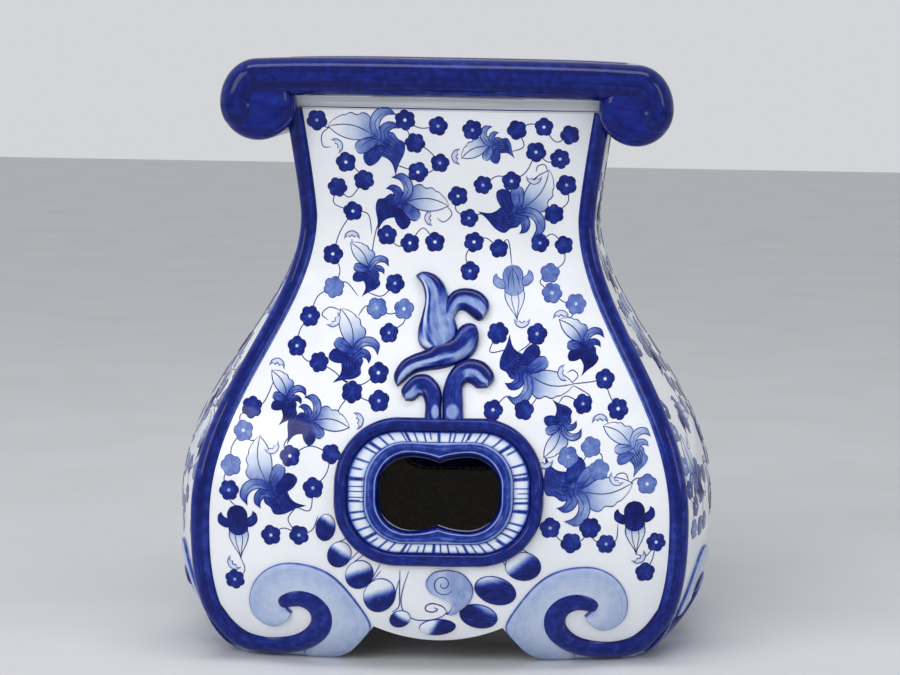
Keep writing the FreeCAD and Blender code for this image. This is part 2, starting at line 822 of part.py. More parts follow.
pieces = [
    front_panel, back_panel, left_panel, right_panel,
    front_left_rib, front_right_rib, back_left_rib, back_right_rib,
    front_frame_bead, front_frame_flute, front_hole_lip,
    front_crest_left_stem, front_crest_right_stem, front_crest_petal, front_crest_leaf,
    front_petals, front_comma,
    neck_collar, seat_slab, front_roll, back_roll, left_scroll, right_scroll,
] + front_feet + right_feet
for piece in (
    front_frame_bead, front_frame_flute, front_hole_lip,
    front_crest_left_stem, front_crest_right_stem, front_crest_petal, front_crest_leaf,
    front_petals, front_comma,
    *front_feet,
):
    pieces.append(turned(piece.Name.replace("front", "back"), piece, 180))
for piece in right_feet:
    pieces.append(turned(piece.Name.replace("right_face", "left_face"), piece, 180))

doc.recompute()
for item in doc.Objects:
    if "Invalid" in item.State or "Error" in item.State:
        raise RuntimeError("%s did not build: %s" % (item.Name, item.State))
os.makedirs("parts", exist_ok=True)
for piece in pieces:
    piece.Label = piece.Name
    shape = piece.Shape
    if shape.isNull() or not shape.isValid() or not shape.Solids:
        raise RuntimeError("%s is not a sound solid" % piece.Label)
    shape.exportStep("parts/%s.step" % piece.Label)
    print("%-28s solids %d faces %3d volume %9.0f" % (
        piece.Label, len(shape.Solids), len(shape.Faces), shape.Volume))
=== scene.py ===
import math
import random

import bpy
import numpy as np
from mathutils import Matrix, Vector


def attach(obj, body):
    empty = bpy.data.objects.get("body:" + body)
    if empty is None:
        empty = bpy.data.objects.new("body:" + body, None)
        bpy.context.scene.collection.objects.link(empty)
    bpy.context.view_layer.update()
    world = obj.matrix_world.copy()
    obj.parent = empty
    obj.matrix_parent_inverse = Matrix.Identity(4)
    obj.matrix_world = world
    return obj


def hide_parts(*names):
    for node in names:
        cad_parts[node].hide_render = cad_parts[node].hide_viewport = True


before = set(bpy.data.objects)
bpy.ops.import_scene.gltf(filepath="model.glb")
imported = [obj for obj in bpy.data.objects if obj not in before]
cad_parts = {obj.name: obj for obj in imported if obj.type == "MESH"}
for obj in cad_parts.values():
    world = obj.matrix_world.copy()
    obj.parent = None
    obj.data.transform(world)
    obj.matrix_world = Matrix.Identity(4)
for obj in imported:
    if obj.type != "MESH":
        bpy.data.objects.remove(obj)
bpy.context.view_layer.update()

MM = 0.001

# The stool's own outline, in millimetres: the same curve that its walls follow
FOOT_HALF_WIDTH = 144.5
BELLY_HALF_WIDTH = 182.0
NECK_HALF_WIDTH = 109.0
TOP_HALF_WIDTH = 120.0
BELLY_HEIGHT = 109.0
NECK_HEIGHT = 336.0
BODY_HEIGHT = 417.0
CORNER_OFFSET = 31.5
FOOT_BULGE = 16.0
BELLY_BULGE = 29.5
NECK_BULGE = 9.0
SWELL_POWER = 2.6
SWELL_BEND = 0.72
SWEEP_POWER = 1.08
FLARE_POWER = 1.2
WALL = 9.0
COLLAR_HEIGHT = 10.0
COLLAR_FLARE = 9.0
SEAT_THICKNESS = 30.0
CROWN_RISE = 2.0
SEAT_HALF_DEPTH = 119.0
ROLL_RADIUS = 14.5
SCROLL_REACH = 143.5
SCROLL_HEIGHT = 421.5
SCROLL_RADIUS = 28.5
SCROLL_OVERHANG = -3.5
SCROLL_DOME = 13.0
SEAT_TOP = BODY_HEIGHT + COLLAR_HEIGHT + SEAT_THICKNESS
CROWN_POWER = 4.0
SLAB_DROP = 1.5
COIL_RISE = 19.0
RIB_BELLY_RADIUS = 8.5
RIB_NECK_RADIUS = 7.0
RIB_INSET = 2.5
RIB_FOOT = 7.0
RIB_TAPER = 35.0
FOOT_LENGTH = 69.0
CUSP_DISTANCE = 96.0
CUSP_HEIGHT = 31.5
APRON_HEIGHT = 20.0
KNEE_SLOPE = 0.71
FOOT_ROUNDING = 0.45
HOLE_MIDDLE = 135.5
FRAME_WIDTH = 156.5
FRAME_HEIGHT = 108.5
FRAME_BEAD = 10.5
LIP_WIDTH = 110.0
LIP_HEIGHT = 73.0
FRAME_CORNER = 48.0
LIP_CORNER = 30.0
HOLE_WIDTH = 91.0
HOLE_HEIGHT = 56.5
HOLE_CORNER = 24.0
HOLE_DIP = 4.5

FACES = {
    # name: direction to the viewer's right, direction outwards
    "front": (np.array((1.0, 0.0)), np.array((0.0, -1.0))),
    "right": (np.array((0.0, 1.0)), np.array((1.0, 0.0))),
    "back": (np.array((-1.0, 0.0)), np.array((0.0, 1.0))),
    "left": (np.array((0.0, -1.0)), np.array((-1.0, 0.0))),
}
WIDE_FACES = ("front", "back")
GROUND_GAP = 0.05
HALF_STEP = 0.5
WIDEST = {"front": 187.25, "back": 187.25, "right": 211.53, "left": 211.53}

# Camera, as the photograph was taken; its axis lies right of the middle, as after a crop
FRAME_PIXELS = (900.0, 675.0)
FOCAL_PIXELS = 2625.0
AXIS_PIXELS = (634.8, 337.5)
SENSOR_MM = 36.0
CAMERA_ACROSS = 100.0
CAMERA_DISTANCE = 2106.0
CAMERA_HEIGHT = 470.0
CAMERA_PITCH = math.radians(6.356)
CAMERA_YAW = math.radians(-1.3)
CAMERA_ROLL = math.radians(1.066)
AIM_STEPS = 30


def camera_axes():
    """Camera's right, up and forward directions in the stool's frame."""
    forward = Vector((
        -math.sin(CAMERA_YAW) * math.cos(CAMERA_PITCH),
        math.cos(CAMERA_YAW) * math.cos(CAMERA_PITCH),
        -math.sin(CAMERA_PITCH)))
    level = Vector((math.cos(CAMERA_YAW), math.sin(CAMERA_YAW), 0.0))
    upward = level.cross(forward)
    right = level * math.cos(CAMERA_ROLL) + upward * math.sin(CAMERA_ROLL)
    up = upward * math.cos(CAMERA_ROLL) - level * math.sin(CAMERA_ROLL)
    return right, up, forward


def add_camera():
    bpy.ops.object.camera_add()
    camera = bpy.context.object
    camera.name = "photo_camera"
    right, up, forward = camera_axes()
    place = Vector((CAMERA_ACROSS, -CAMERA_DISTANCE, CAMERA_HEIGHT)) * MM
    camera.matrix_world = Matrix.Translation(place) @ Matrix((
        right, up, -forward)).transposed().to_4x4()
    camera.data.sensor_width = SENSOR_MM
    camera.data.lens = SENSOR_MM * FOCAL_PIXELS / FRAME_PIXELS[0]
    camera.data.shift_x = 0.5 - AXIS_PIXELS[0] / FRAME_PIXELS[0]
    bpy.context.scene.camera = camera


# Surface of the body
def profile_shares(height):
    """How far the profile has swelled out to the belly, swept in to the neck and
    opened to the top, at a height or an array of them."""
    height = np.clip(np.asarray(height, dtype=float), 0.0, BODY_HEIGHT)
    low = np.clip(height / BELLY_HEIGHT, 0.0, 1.0)
    middle = np.clip((height - BELLY_HEIGHT) / (NECK_HEIGHT - BELLY_HEIGHT), 0.0, 1.0)
    high = np.clip((height - NECK_HEIGHT) / (BODY_HEIGHT - NECK_HEIGHT), 0.0, 1.0)
    swell = (1.0 - (1.0 - low) ** SWELL_POWER) ** SWELL_BEND
    sweep = (1.0 - np.cos(np.pi * middle ** SWEEP_POWER)) / 2.0
    return swell, sweep, high ** FLARE_POWER


def half_width(height):
    """Half the stool's width at its corners."""
    swell, sweep, flare = profile_shares(height)
    return (
        FOOT_HALF_WIDTH + (BELLY_HALF_WIDTH - FOOT_HALF_WIDTH) * swell
        + (NECK_HALF_WIDTH - BELLY_HALF_WIDTH) * sweep
        + (TOP_HALF_WIDTH - NECK_HALF_WIDTH) * flare)


def bulge(height):
    """How far each face swells out past its corners."""
    swell, sweep, _ = profile_shares(height)
    return (
        FOOT_BULGE + (BELLY_BULGE - FOOT_BULGE) * swell
        + (NECK_BULGE - BELLY_BULGE) * sweep)


def side_inset(face):
    """How much nearer the middle the corners are on a narrow face than on a wide one."""
    return 0.0 if face in WIDE_FACES else CORNER_OFFSET


def half_chord(face, height):
    """Half the width of a face between its corners."""
    return half_width(height) - side_inset(face)


def face_depth(face, across, height):
    """Distance of a face's surface from the stool's axis."""
    chord = half_chord(face, height)
    rise = bulge(height)
    radius = (chord ** 2 + rise ** 2) / (2.0 * rise)
    offset = CORNER_OFFSET - side_inset(face)
    across = np.clip(across, -chord, chord)
    return half_width(height) - offset + np.sqrt(radius ** 2 - across ** 2) - (radius - rise)


def crown_height(across):
    """Height of the seat's crown, flat in the middle and falling at its ends."""
    return SEAT_TOP - CROWN_RISE * np.abs(across / SCROLL_REACH) ** CROWN_POWER


def wrap(face, across, height, lift):
    """Points on a face, lifted off it along its normal, in metres."""
    across = np.asarray(across, dtype=float)
    height = np.asarray(height, dtype=float)
    lift = np.asarray(lift, dtype=float)
    if face == "seat":
        return np.stack([across, height, crown_height(across) - SLAB_DROP + lift], axis=-1) * MM
    depth = face_depth(face, across, height)
    tilt = (face_depth(face, across, height + HALF_STEP)
            - face_depth(face, across, height - HALF_STEP)) / (2.0 * HALF_STEP)
    lean = (face_depth(face, across + HALF_STEP, height)
            - face_depth(face, across - HALF_STEP, height)) / (2.0 * HALF_STEP)
    length = np.sqrt(1.0 + tilt ** 2 + lean ** 2)
    across = across - lean / length * lift
    height = np.maximum(height - tilt / length * lift, GROUND_GAP)
    depth = np.minimum(depth + lift / length, WIDEST[face])
    rightward, outward = FACES[face]
    ground = across[..., None] * rightward + depth[..., None] * outward
    return np.concatenate([ground, height[..., None]], axis=-1) * MM


def seen_at(pixel, lift=0.0):
    """Place on the front face, across and height, that shows at a pixel of the photo."""
    right, up, forward = camera_axes()
    aim = (forward + right * (pixel[0] - AXIS_PIXELS[0]) / FOCAL_PIXELS
           + up * (AXIS_PIXELS[1] - pixel[1]) / FOCAL_PIXELS)
    reach = CAMERA_DISTANCE
    for _ in range(AIM_STEPS):
        x = CAMERA_ACROSS + aim.x * reach
        y = -CAMERA_DISTANCE + aim.y * reach
        z = CAMERA_HEIGHT + aim.z * reach
        reach += (-float(face_depth("front", x, z)) - lift - y) / aim.y
    return x, z


# Colours and materials
def linear(hex_colour):
    """Linear RGBA of an sRGB hex colour."""
    channels = [int(hex_colour[i:i + 2], 16) / 255.0 for i in (1, 3, 5)]
    return tuple(
        c / 12.92 if c <= 0.04045 else ((c + 0.055) / 1.055) ** 2.4 for c in channels) + (1.0,)


def node(tree, kind, settings=None, **links):
    """Adds a node; links maps a socket's name to a value or another node's output."""
    made = tree.nodes.new(kind)
    for name, value in (settings or {}).items():
        setattr(made, name, value)
    for name, value in links.items():
        socket = made.inputs[name.replace("_", " ")]
        if isinstance(value, bpy.types.NodeSocket):
            tree.links.new(value, socket)
        else:
            socket.default_value = value
    return made


def new_material(name):
    """Empty material, its node tree and the place on the object in that tree."""
    material = bpy.data.materials.new(name)
    material.use_nodes = True
    tree = material.node_tree
    tree.nodes.clear()
    return material, tree, node(tree, "ShaderNodeTexCoord").outputs["Object"]


def noise(tree, place, scale, detail, roughness=0.5):
    return node(tree, "ShaderNodeTexNoise", Vector=place, Scale=scale, Detail=detail,
                Roughness=roughness).outputs["Fac"]


def stretched(tree, place, scale):
    return node(tree, "ShaderNodeMapping", Vector=place, Scale=scale).outputs["Vector"]


def maths(tree, operation, first, second, clamp=False):
    made = node(tree, "ShaderNodeMath", {"operation": operation, "use_clamp": clamp})
    tree.links.new(first, made.inputs[0])
    tree.links.new(second, made.inputs[1])
    return made.outputs[0]


def colour_ramp(tree, factor, stops):
    ramp = node(tree, "ShaderNodeValToRGB", Fac=factor)
    elements = ramp.color_ramp.elements
    while len(elements) < len(stops):
        elements.new(0.5)
    for element, (position, hex_colour) in zip(elements, stops):
        element.position = position
        element.color = linear(hex_colour)
    return ramp.outputs["Color"]


# Cobalt under clear glaze, from bare white slip to the deepest brush load
COBALT_STOPS = (
    (0.0, "#F0F2F5"),
    (0.12, "#D2DBEB"),
    (0.3, "#A2B4D9"),
    (0.48, "#687FBE"),
    (0.66, "#2A429E"),
    (0.82, "#0A227C"),
    (1.0, "#000C5C"),
)


def bumped(tree, height, strength, height_mm):
    return node(tree, "ShaderNodeBump", Height=height, Strength=strength,
                Distance=height_mm * MM).outputs["Normal"]


def glaze_bump(tree, place, ripple_mm, height_mm):
    """Slow ripple of a fired glaze, which makes its reflections waver."""
    ripple = noise(tree, place, 1.0 / (ripple_mm * MM), 1.5, 0.4)
    return bumped(tree, ripple, 1.0, height_mm)


def glazed(tree, colour, normal, roughness):
    shader = node(tree, "ShaderNodeBsdfPrincipled", Base_Color=colour, Normal=normal,
                  Roughness=roughness, IOR=1.34)
    node(tree, "ShaderNodeOutputMaterial", Surface=shader.outputs["BSDF"])


def white_glaze():
    """White slip under clear glaze: cool white, a little greyer where it is thin."""
    material, tree, place = new_material("white_slip_under_clear_glaze")
    cloud = noise(tree, place, 18.0, 3.0)
    colour = colour_ramp(tree, cloud, ((0.3, "#E9ECF1"), (0.7, "#F3F5F8")))
    glazed(tree, colour, glaze_bump(tree, place, 14.0, 0.10), 0.07)
    return material


def painted_glaze():
    """Cobalt brushed on relief: the load comes from each piece's own strokes."""
    material, tree, place = new_material("cobalt_brushed_under_clear_glaze")
    load = node(tree, "ShaderNodeAttribute", {"attribute_name": "cobalt"}).outputs["Fac"]
    stroke_place = node(tree, "ShaderNodeUVMap", {"uv_map": "strokes"}).outputs["UV"]
    streaks = noise(tree, stroke_place, 1.0, 3.0, 0.55)
    pools = noise(tree, place, 160.0, 2.0)
    thinning = node(tree, "ShaderNodeMapRange", Value=maths(tree, "ADD", streaks, pools),
                    From_Min=0.7, From_Max=1.3, To_Min=1.12, To_Max=0.80).outputs["Result"]
    cobalt = maths(tree, "MULTIPLY", load, thinning, clamp=True)
    colour = colour_ramp(tree, cobalt, COBALT_STOPS)
    glazed(tree, colour, glaze_bump(tree, place, 9.0, 0.06), 0.09)
    return material


def cobalt_glaze():
    """Solid cobalt bands laid with a wide brush: navy with lighter streaks."""
    material, tree, place = new_material("cobalt_band_under_clear_glaze")
    streaks = noise(tree, stretched(tree, place, (30.0, 90.0, 90.0)), 1.0, 4.0, 0.6)
    colour = colour_ramp(tree, streaks,
                         ((0.3, "#00085A"), (0.5, "#021570"), (0.68, "#0E2588"), (0.8, "#2C429E")))
    glazed(tree, colour, glaze_bump(tree, place, 12.0, 0.09), 0.08)
    return material


def raw_clay():
    """Unglazed stoneware inside the stool: matt, dusty grey that goes dark in the hole."""
    material, tree, place = new_material("raw_stoneware_inside")
    grain = noise(tree, place, 400.0, 4.0)
    colour = colour_ramp(tree, grain, ((0.35, "#8E897F"), (0.65, "#A8A298")))
    glazed(tree, colour, bumped(tree, grain, 0.4, 0.2), 0.85)
    return material


def cove_painted_shade_glaze():
    """The cove's grey-white glaze with long brushed streaks: its grey, darker than the walls' white,
    is painted shade under the seat.
    """
    material, tree, place = new_material("cove_glaze_greyed_as_painted_shade")
    streaks = noise(tree, stretched(tree, place, (12.0, 12.0, 420.0)), 1.0, 3.0)
    colour = colour_ramp(tree, streaks, ((0.35, "#BFC2C5"), (0.65, "#D6D8DA")))
    glazed(tree, colour, glaze_bump(tree, place, 12.0, 0.08), 0.1)
    return material


WHITE = white_glaze()
# Cove glaze: its grey is painted shade under the seat's overhang
COVE_PAINTED_SHADE = cove_painted_shade_glaze()
PAINTED = painted_glaze()
COBALT = cobalt_glaze()
CLAY = raw_clay()


# Mesh helpers
def deselect_all():
    if bpy.context.object and bpy.context.object.mode != "OBJECT":
        bpy.ops.object.mode_set(mode="OBJECT")
    bpy.ops.object.select_all(action="DESELECT")


def keep_alone(piece):
    deselect_all()
    piece.select_set(True)
    bpy.context.view_layer.objects.active = piece


GRIDS = {}
WELD_GAP = 0.02
SPRIG_CREASE = math.radians(50.0)
WALL_CREASE = math.radians(35.0)


def grid(columns, rows):
    """Column and row of each vertex of a grid primitive, and its quads."""
    if (columns, rows) not in GRIDS:
        deselect_all()
        bpy.ops.mesh.primitive_grid_add(
            x_subdivisions=columns - 1, y_subdivisions=rows - 1, size=2.0)
        sheet = bpy.context.object
        places = np.empty(len(sheet.data.vertices) * 3)
        sheet.data.vertices.foreach_get("co", places)
        shares = (places.reshape(-1, 3)[:, :2] + 1.0) / 2.0
        column, row = np.rint(shares * (columns - 1, rows - 1)).astype(int).T
        quads = np.array([tuple(face.vertices) for face in sheet.data.polygons])
        bpy.data.objects.remove(sheet, do_unlink=True)
        GRIDS[(columns, rows)] = (column, row, quads)
    return GRIDS[(columns, rows)]


def disc(segments, rings):
    """Ring share and angle of each vertex of a round patch, and its quads."""
    column, row, quads = grid(segments + 1, len(rings))
    return np.array(rings)[row], column % segments / segments * 2.0 * math.pi, quads


def unit_rows(vectors):
    """Rows of vectors, each made one unit long."""
    return vectors / np.maximum(np.linalg.norm(vectors, axis=1, keepdims=True), 1e-6)


def distances(places):
    """Distance of each point from the first, along the line through them."""
    return np.concatenate([[0.0], np.cumsum(np.linalg.norm(np.diff(places, axis=0), axis=1))])


def new_piece(name, places, faces):
    """New mesh object, alone in the selection."""
    mesh = bpy.data.meshes.new(name)
    mesh.from_pydata(np.asarray(places).tolist(), [], faces)
    piece = bpy.data.objects.new(name, mesh)
    bpy.context.collection.objects.link(piece)
    keep_alone(piece)
    return piece


def tube_faces(count, rings):
    """Quads between rings of so many points each."""
    return [(low + i, low + (i + 1) % count, low + count + (i + 1) % count, low + count + i)
            for low in range(0, count * (rings - 1), count) for i in range(count)]


def in_edit_mode(*steps):
    """Runs operators on all of the active piece in edit mode."""
    bpy.ops.object.mode_set(mode="EDIT")
    bpy.ops.mesh.select_all(action="SELECT")
    for step in steps:
        step()
    bpy.ops.object.mode_set(mode="OBJECT")


def face_outwards():
    bpy.ops.mesh.normals_make_consistent(inside=False)


def thicken(piece):
    """Gives a sheet the wall's thickness, inwards."""
    thick = piece.modifiers.new("thickness", "SOLIDIFY")
    thick.thickness = WALL * MM
    thick.offset = -1.0
    return thick


def join_stool(piece, nodes=()):
    """Fixes a piece to the stool; it stands in for the named nodes."""
    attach(piece, "root")
    if nodes:
        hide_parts(*nodes)


class Sprigs:
    """Gathers the patches of one named piece, each wrapped on a face of the stool."""

    def __init__(self, name):
        self.name = name
        self.patches = []
        self.count = 0

    def add(self, places, quads, cobalt, strokes):
        self.patches.append((places, quads + self.count, cobalt, strokes))
        self.count += len(places)

    def finish(self, slot, nodes=()):
        """Builds the piece in the painted glaze and fixes it to the stool."""
        places, quads, cobalt, strokes = (np.concatenate(part) for part in zip(*self.patches))
        piece = new_piece(self.name, places, quads.tolist())
        mesh = piece.data
        layer = mesh.attributes.new("cobalt", "FLOAT", "POINT")
        layer.data.foreach_set("value", cobalt.astype(np.float32))
        corners = np.empty(len(mesh.loops), dtype=np.int32)
        mesh.loops.foreach_get("vertex_index", corners)
        uv = mesh.uv_layers.new(name="strokes")
        uv.data.foreach_set("uv", strokes[corners].astype(np.float32).ravel())
        in_edit_mode(lambda: bpy.ops.mesh.remove_doubles(threshold=WELD_GAP * MM))
        bpy.ops.object.shade_smooth_by_angle(angle=SPRIG_CREASE)
        mesh.materials.append(PAINTED)
        join_stool(piece, nodes)


# Raised clay: its strokes' spacing, its sunk edge and the room it keeps at a wall's edges
STROKE_WIDTH = 1.3
STROKE_LENGTH = 14.0
SUNK = -0.8
LOWEST_EDGE = 0.3
CORNER_GAP = 1.0
FULL_WIDTH = 7.0


def smooth_line(points, count):
    """Even samples of a smooth curve through rows of numbers."""
    points = np.asarray(points, dtype=float)
    padded = np.vstack([2 * points[0] - points[1], points, 2 * points[-1] - points[-2]])
    spans = len(points) - 1
    samples = []
    for step in np.linspace(0.0, spans, count):
        index = min(int(step), spans - 1)
        t = step - index
        a, b, c, d = padded[index:index + 4]
        samples.append(0.5 * (2 * b + (c - a) * t + (2 * a - 5 * b + 4 * c - d) * t ** 2
                              + (3 * b - a - 3 * c + d) * t ** 3))
    return np.array(samples)


def left_of(line):
    """Directions square to a line, to its left, at each of its points."""
    run = unit_rows(np.gradient(line, axis=0))
    return np.stack([-run[:, 1], run[:, 0]], axis=1)


def rounded(column, columns, rounding):
    """Place across a patch, from -1 to 1 and closer together at its edges, and the
    share of the full height there."""
    side = np.sin((2.0 * column / (columns - 1) - 1.0) * math.pi / 2.0)
    return side, np.maximum(1.0 - np.abs(side) ** rounding, 0.0) ** (1.0 / rounding)


def add_relief(sprigs, face, places, lift, quads, cobalt, strokes):
    """Adds a raised patch, kept off the ground and inside the face's corners."""
    height = np.maximum(places[:, 1], LOWEST_EDGE)
    corner = half_chord(face, height) - CORNER_GAP
    across = np.clip(places[:, 0], -corner, corner)
    sprigs.add(wrap(face, across, height, lift), quads, cobalt, strokes)


def band(sprigs, face, line, height, load, rounding, columns, rows, edge, edge_width=0.16):
    """Raised band on a face: line rows are across, height, half width; load is the
    cobalt at its start, middle and end; edge is the cobalt of its outline."""
    samples = smooth_line(line, rows)
    middle = samples[:, :2]
    half = samples[:, 2]
    aside = left_of(middle)
    distance = distances(middle)
    column, row, quads = grid(columns, rows)
    side, crown = rounded(column, columns, rounding)
    places = middle[row] + aside[row] * (side * half[row])[:, None]
    share = distance[row] / distance[-1]
    near = np.minimum(distance[row], distance[-1] - distance[row])
    ends = np.sqrt(np.clip(near / half[row], 0.0, 1.0))
    lift = SUNK + (height - SUNK) * crown * ends
    cobalt = np.interp(share, (0.0, 0.5, 1.0), load)
    line_half = np.clip(edge_width * half[row], 0.35, 0.9)
    inside = half[row] * (1.0 - np.abs(side))
    rim = np.clip(1.0 - (inside - line_half * 0.5) / line_half, 0.0, 1.0)
    cobalt = cobalt + (edge - cobalt) * rim
    strokes = np.stack([side * half[row] / STROKE_WIDTH + 37.0 * len(sprigs.patches),
                        distance[row] / STROKE_LENGTH], axis=1)
    add_relief(sprigs, face, places, lift, quads[:, ::-1], cobalt, strokes)


def tone_at(tones, share, along):
    """Cobalt at a share across and a share along: tones are (along, ((across, cobalt), ...))."""
    stations = [station for station, row in tones]
    loads = [np.interp(share, *zip(*row)) for station, row in tones]
    cobalt = loads[0]
    for index in range(1, len(stations)):
        step = (along - stations[index - 1]) / (stations[index] - stations[index - 1])
        cobalt = cobalt + (loads[index] - loads[index - 1]) * np.clip(step, 0.0, 1.0)
    return cobalt


def relief(sprigs, face, left, right, height, tones, rows, columns=25, rounding=3.0,
           edge=1.0, edge_width=0.55, grain=STROKE_LENGTH, spots=()):
    """Raised patch between two curves that share their ends; edge is the cobalt of its
    outline. A spot is a brushed oval: middle, half width, half height, cobalt."""
    port = smooth_line(left, rows)
    starboard = smooth_line(right, rows)
    span = starboard - port
    width = np.linalg.norm(span, axis=1)
    column, row, quads = grid(columns, rows)
    side, crown = rounded(column, columns, rounding)
    share = (side + 1.0) / 2.0
    places = port[row] + span[row] * share[:, None]
    fullness = np.clip(width / FULL_WIDTH, 0.0, 1.0)[row]
    lift = SUNK + (height - SUNK) * crown * np.sqrt(fullness)
    cobalt = tone_at(tones, share, row / (rows - 1.0))
    for middle, half_across, half_up, tone in spots:
        reach = np.hypot((places[:, 0] - middle[0]) / half_across,
                         (places[:, 1] - middle[1]) / half_up)
        cobalt = cobalt + (tone - cobalt) * np.clip((1.15 - reach) / 0.3, 0.0, 1.0)
    inside = width[row] * (1.0 - np.abs(side)) / 2.0
    rim = np.clip(1.6 - inside / edge_width, 0.0, 1.0)
    cobalt = cobalt + (edge - cobalt) * rim
    along = distances((port + starboard) / 2.0)
    strokes = np.stack([side * width[row] / 2.0 / STROKE_WIDTH + 23.0 * len(sprigs.patches),
                        along[row] / grain], axis=1)
    add_relief(sprigs, face, places, lift, quads, cobalt, strokes)


# Painting: flat brushwork in cobalt, each shape with a fine dark outline
PAINT_DEPTH = 0.3
OUTLINE_WIDTH = 0.62


def shape(sprigs, face, left, right, lift, wash, edge, rows=22):
    """Painted shape between two curves that share their end points; wash is the
    cobalt from its first end to its last, edge the cobalt of its outline."""
    starboard = smooth_line(right, rows)
    port = smooth_line(left, rows)
    span = starboard - port
    width = np.maximum(np.linalg.norm(span, axis=1), 0.01)
    line = np.minimum(OUTLINE_WIDTH, 0.3 * width)
    inner = width - 3.0 * line
    offsets = np.stack(
        [0.0 * width, 0.1 * line, line, 1.5 * line]
        + [1.5 * line + inner * share for share in (0.2, 0.4, 0.6, 0.8)]
        + [width - 1.5 * line, width - line, width - 0.1 * line, width], axis=1)
    tone = np.array([1.0, 1.0, 1.0, 0.0, 0.0, 0.0, 0.0, 0.0, 0.0, 1.0, 1.0, 1.0])
    rise = np.array([0.0] + [1.0] * 10 + [0.0])
    column, row, quads = grid(len(tone), rows)
    share = offsets[row, column] / width[row]
    places = port[row] + span[row] * share[:, None]
    along = row / (rows - 1.0)
    fill = np.interp(along, np.linspace(0.0, 1.0, len(wash)), wash)
    cobalt = fill + (edge - fill) * tone[column]
    height = -PAINT_DEPTH + (lift + PAINT_DEPTH) * rise[column]
    strokes = np.stack([share * width[row] / STROKE_WIDTH + 7.0 * len(sprigs.patches),
                        along * rows / STROKE_LENGTH], axis=1)
    sprigs.add(wrap(face, places[:, 0], places[:, 1], height), quads, cobalt, strokes)


def brush_line(sprigs, face, line, cobalt, lift=0.42, half=0.42, rows=12):
    """Fine painted line through its points."""
    samples = smooth_line(line, rows)
    aside = left_of(samples)
    ends = np.minimum(np.linspace(0.0, 1.0, rows), np.linspace(1.0, 0.0, rows))
    taper = np.minimum(1.0, 0.45 + 3.0 * ends)
    sides = np.array([-1.0, -0.8, 0.0, 0.8, 1.0])
    rise = np.array([0.0, 1.0, 1.0, 1.0, 0.0])
    column, row, quads = grid(len(sides), rows)
    places = samples[row] + aside[row] * (sides[column] * half * taper[row])[:, None]
    height = -PAINT_DEPTH + (lift + PAINT_DEPTH) * rise[column]
    strokes = np.stack([sides[column] * 0.1, row * 0.1], axis=1)
    sprigs.add(wrap(face, places[:, 0], places[:, 1], height), quads[:, ::-1],
               np.full(len(row), cobalt), strokes)


# Blossoms: five or six lobes, about 16 mm across, placed where the photograph shows them
BLOSSOM_RADIUS = 8.1
BLOSSOM_RINGS = (0.0, 0.12, 0.2, 0.88, 0.94, 1.0)
BLOSSOM_LIFT = 0.45
LOBE_STEPS = 4
DOT_CHANCE = 0.7
DOT_TONES = (0.08, 0.2, 0.35)
DARK_BLOSSOMS = (
    (317, 120), (405, 120), (438, 126), (415, 143), (346, 162), (364, 180), (337.5, 187),
    (418, 172), (440, 163), (353, 211), (387, 235), (410, 243), (435, 242), (333, 254),
    (395, 283.5), (389, 333), (310, 316), (297, 346), (319, 362), (378.5, 373), (352, 392),
    (379, 401), (252, 407), (290, 456), (331, 454), (313, 488), (229, 490), (271, 535), (299, 535),
    (235, 579), (472.5, 130), (517, 130), (544, 127), (570, 135), (536, 152), (560, 159),
    (483, 185), (511.5, 181), (566.5, 185), (458, 196), (469, 218), (554, 214), (474, 242),
    (499, 248.5), (540, 243), (564, 245), (470, 271), (498, 333), (537, 334), (605, 379),
    (583, 404), (618, 409), (493, 410), (524, 410), (550, 528), (590, 528), (571, 543), (606, 544),
    (656, 542), (645, 572),
)
# Paler blossoms: painted reflection, a lighter tone where window reflections wash over the glaze; the
# other faces get copies
BLOSSOMS_PALED_AS_PAINTED_REFLECTION = (
    (334, 287), (377, 308), (404, 309), (243.5, 430.5), (231, 465), (550, 273), (552, 293),
    (576, 304), (591, 447), (568, 457), (599, 470), (647, 484),
)


def blossom(sprigs, face, middle, tone, index):
    """Scalloped round with a dark rim, brushed petals and a white dot."""
    chance = random.Random(index)
    lobes = chance.choice((5, 5, 6))
    turn = chance.uniform(0.0, 2.0)
    radius = BLOSSOM_RADIUS * chance.uniform(0.94, 1.06)
    ring, angle, quads = disc(lobes * LOBE_STEPS, BLOSSOM_RINGS)
    scallop = np.abs(np.cos(angle * lobes / 2.0))
    wobble = np.array([chance.uniform(0.97, 1.03) for _ in range(lobes)])
    lobe = np.rint(angle / (2.0 * math.pi) * lobes).astype(int) % lobes
    reach = radius * (0.84 + 0.16 * scallop ** 0.7 * wobble[lobe])
    across = middle[0] + reach * ring * np.cos(angle + turn)
    up = middle[1] + reach * ring * np.sin(angle + turn)
    fill = tone * (0.80 + 0.10 * ring)
    cobalt = np.where(ring > 0.9, min(1.0, tone + 0.12), fill)
    if chance.random() < DOT_CHANCE:
        cobalt = np.where(ring < 0.15, chance.choice(DOT_TONES), cobalt)
    lift = np.where(ring == 1.0, -PAINT_DEPTH, BLOSSOM_LIFT - 0.1 * ring ** 2)
    strokes = np.stack([np.abs(angle - math.pi) * 2.2 + 5.0 * index, ring * 0.7], axis=1)
    sprigs.add(wrap(face, across, up, lift), quads, cobalt, strokes)


def blossoms(sprigs, face, places, tone):
    for index, middle in enumerate(places):
        blossom(sprigs, face, middle, tone, index + int(100 * tone))


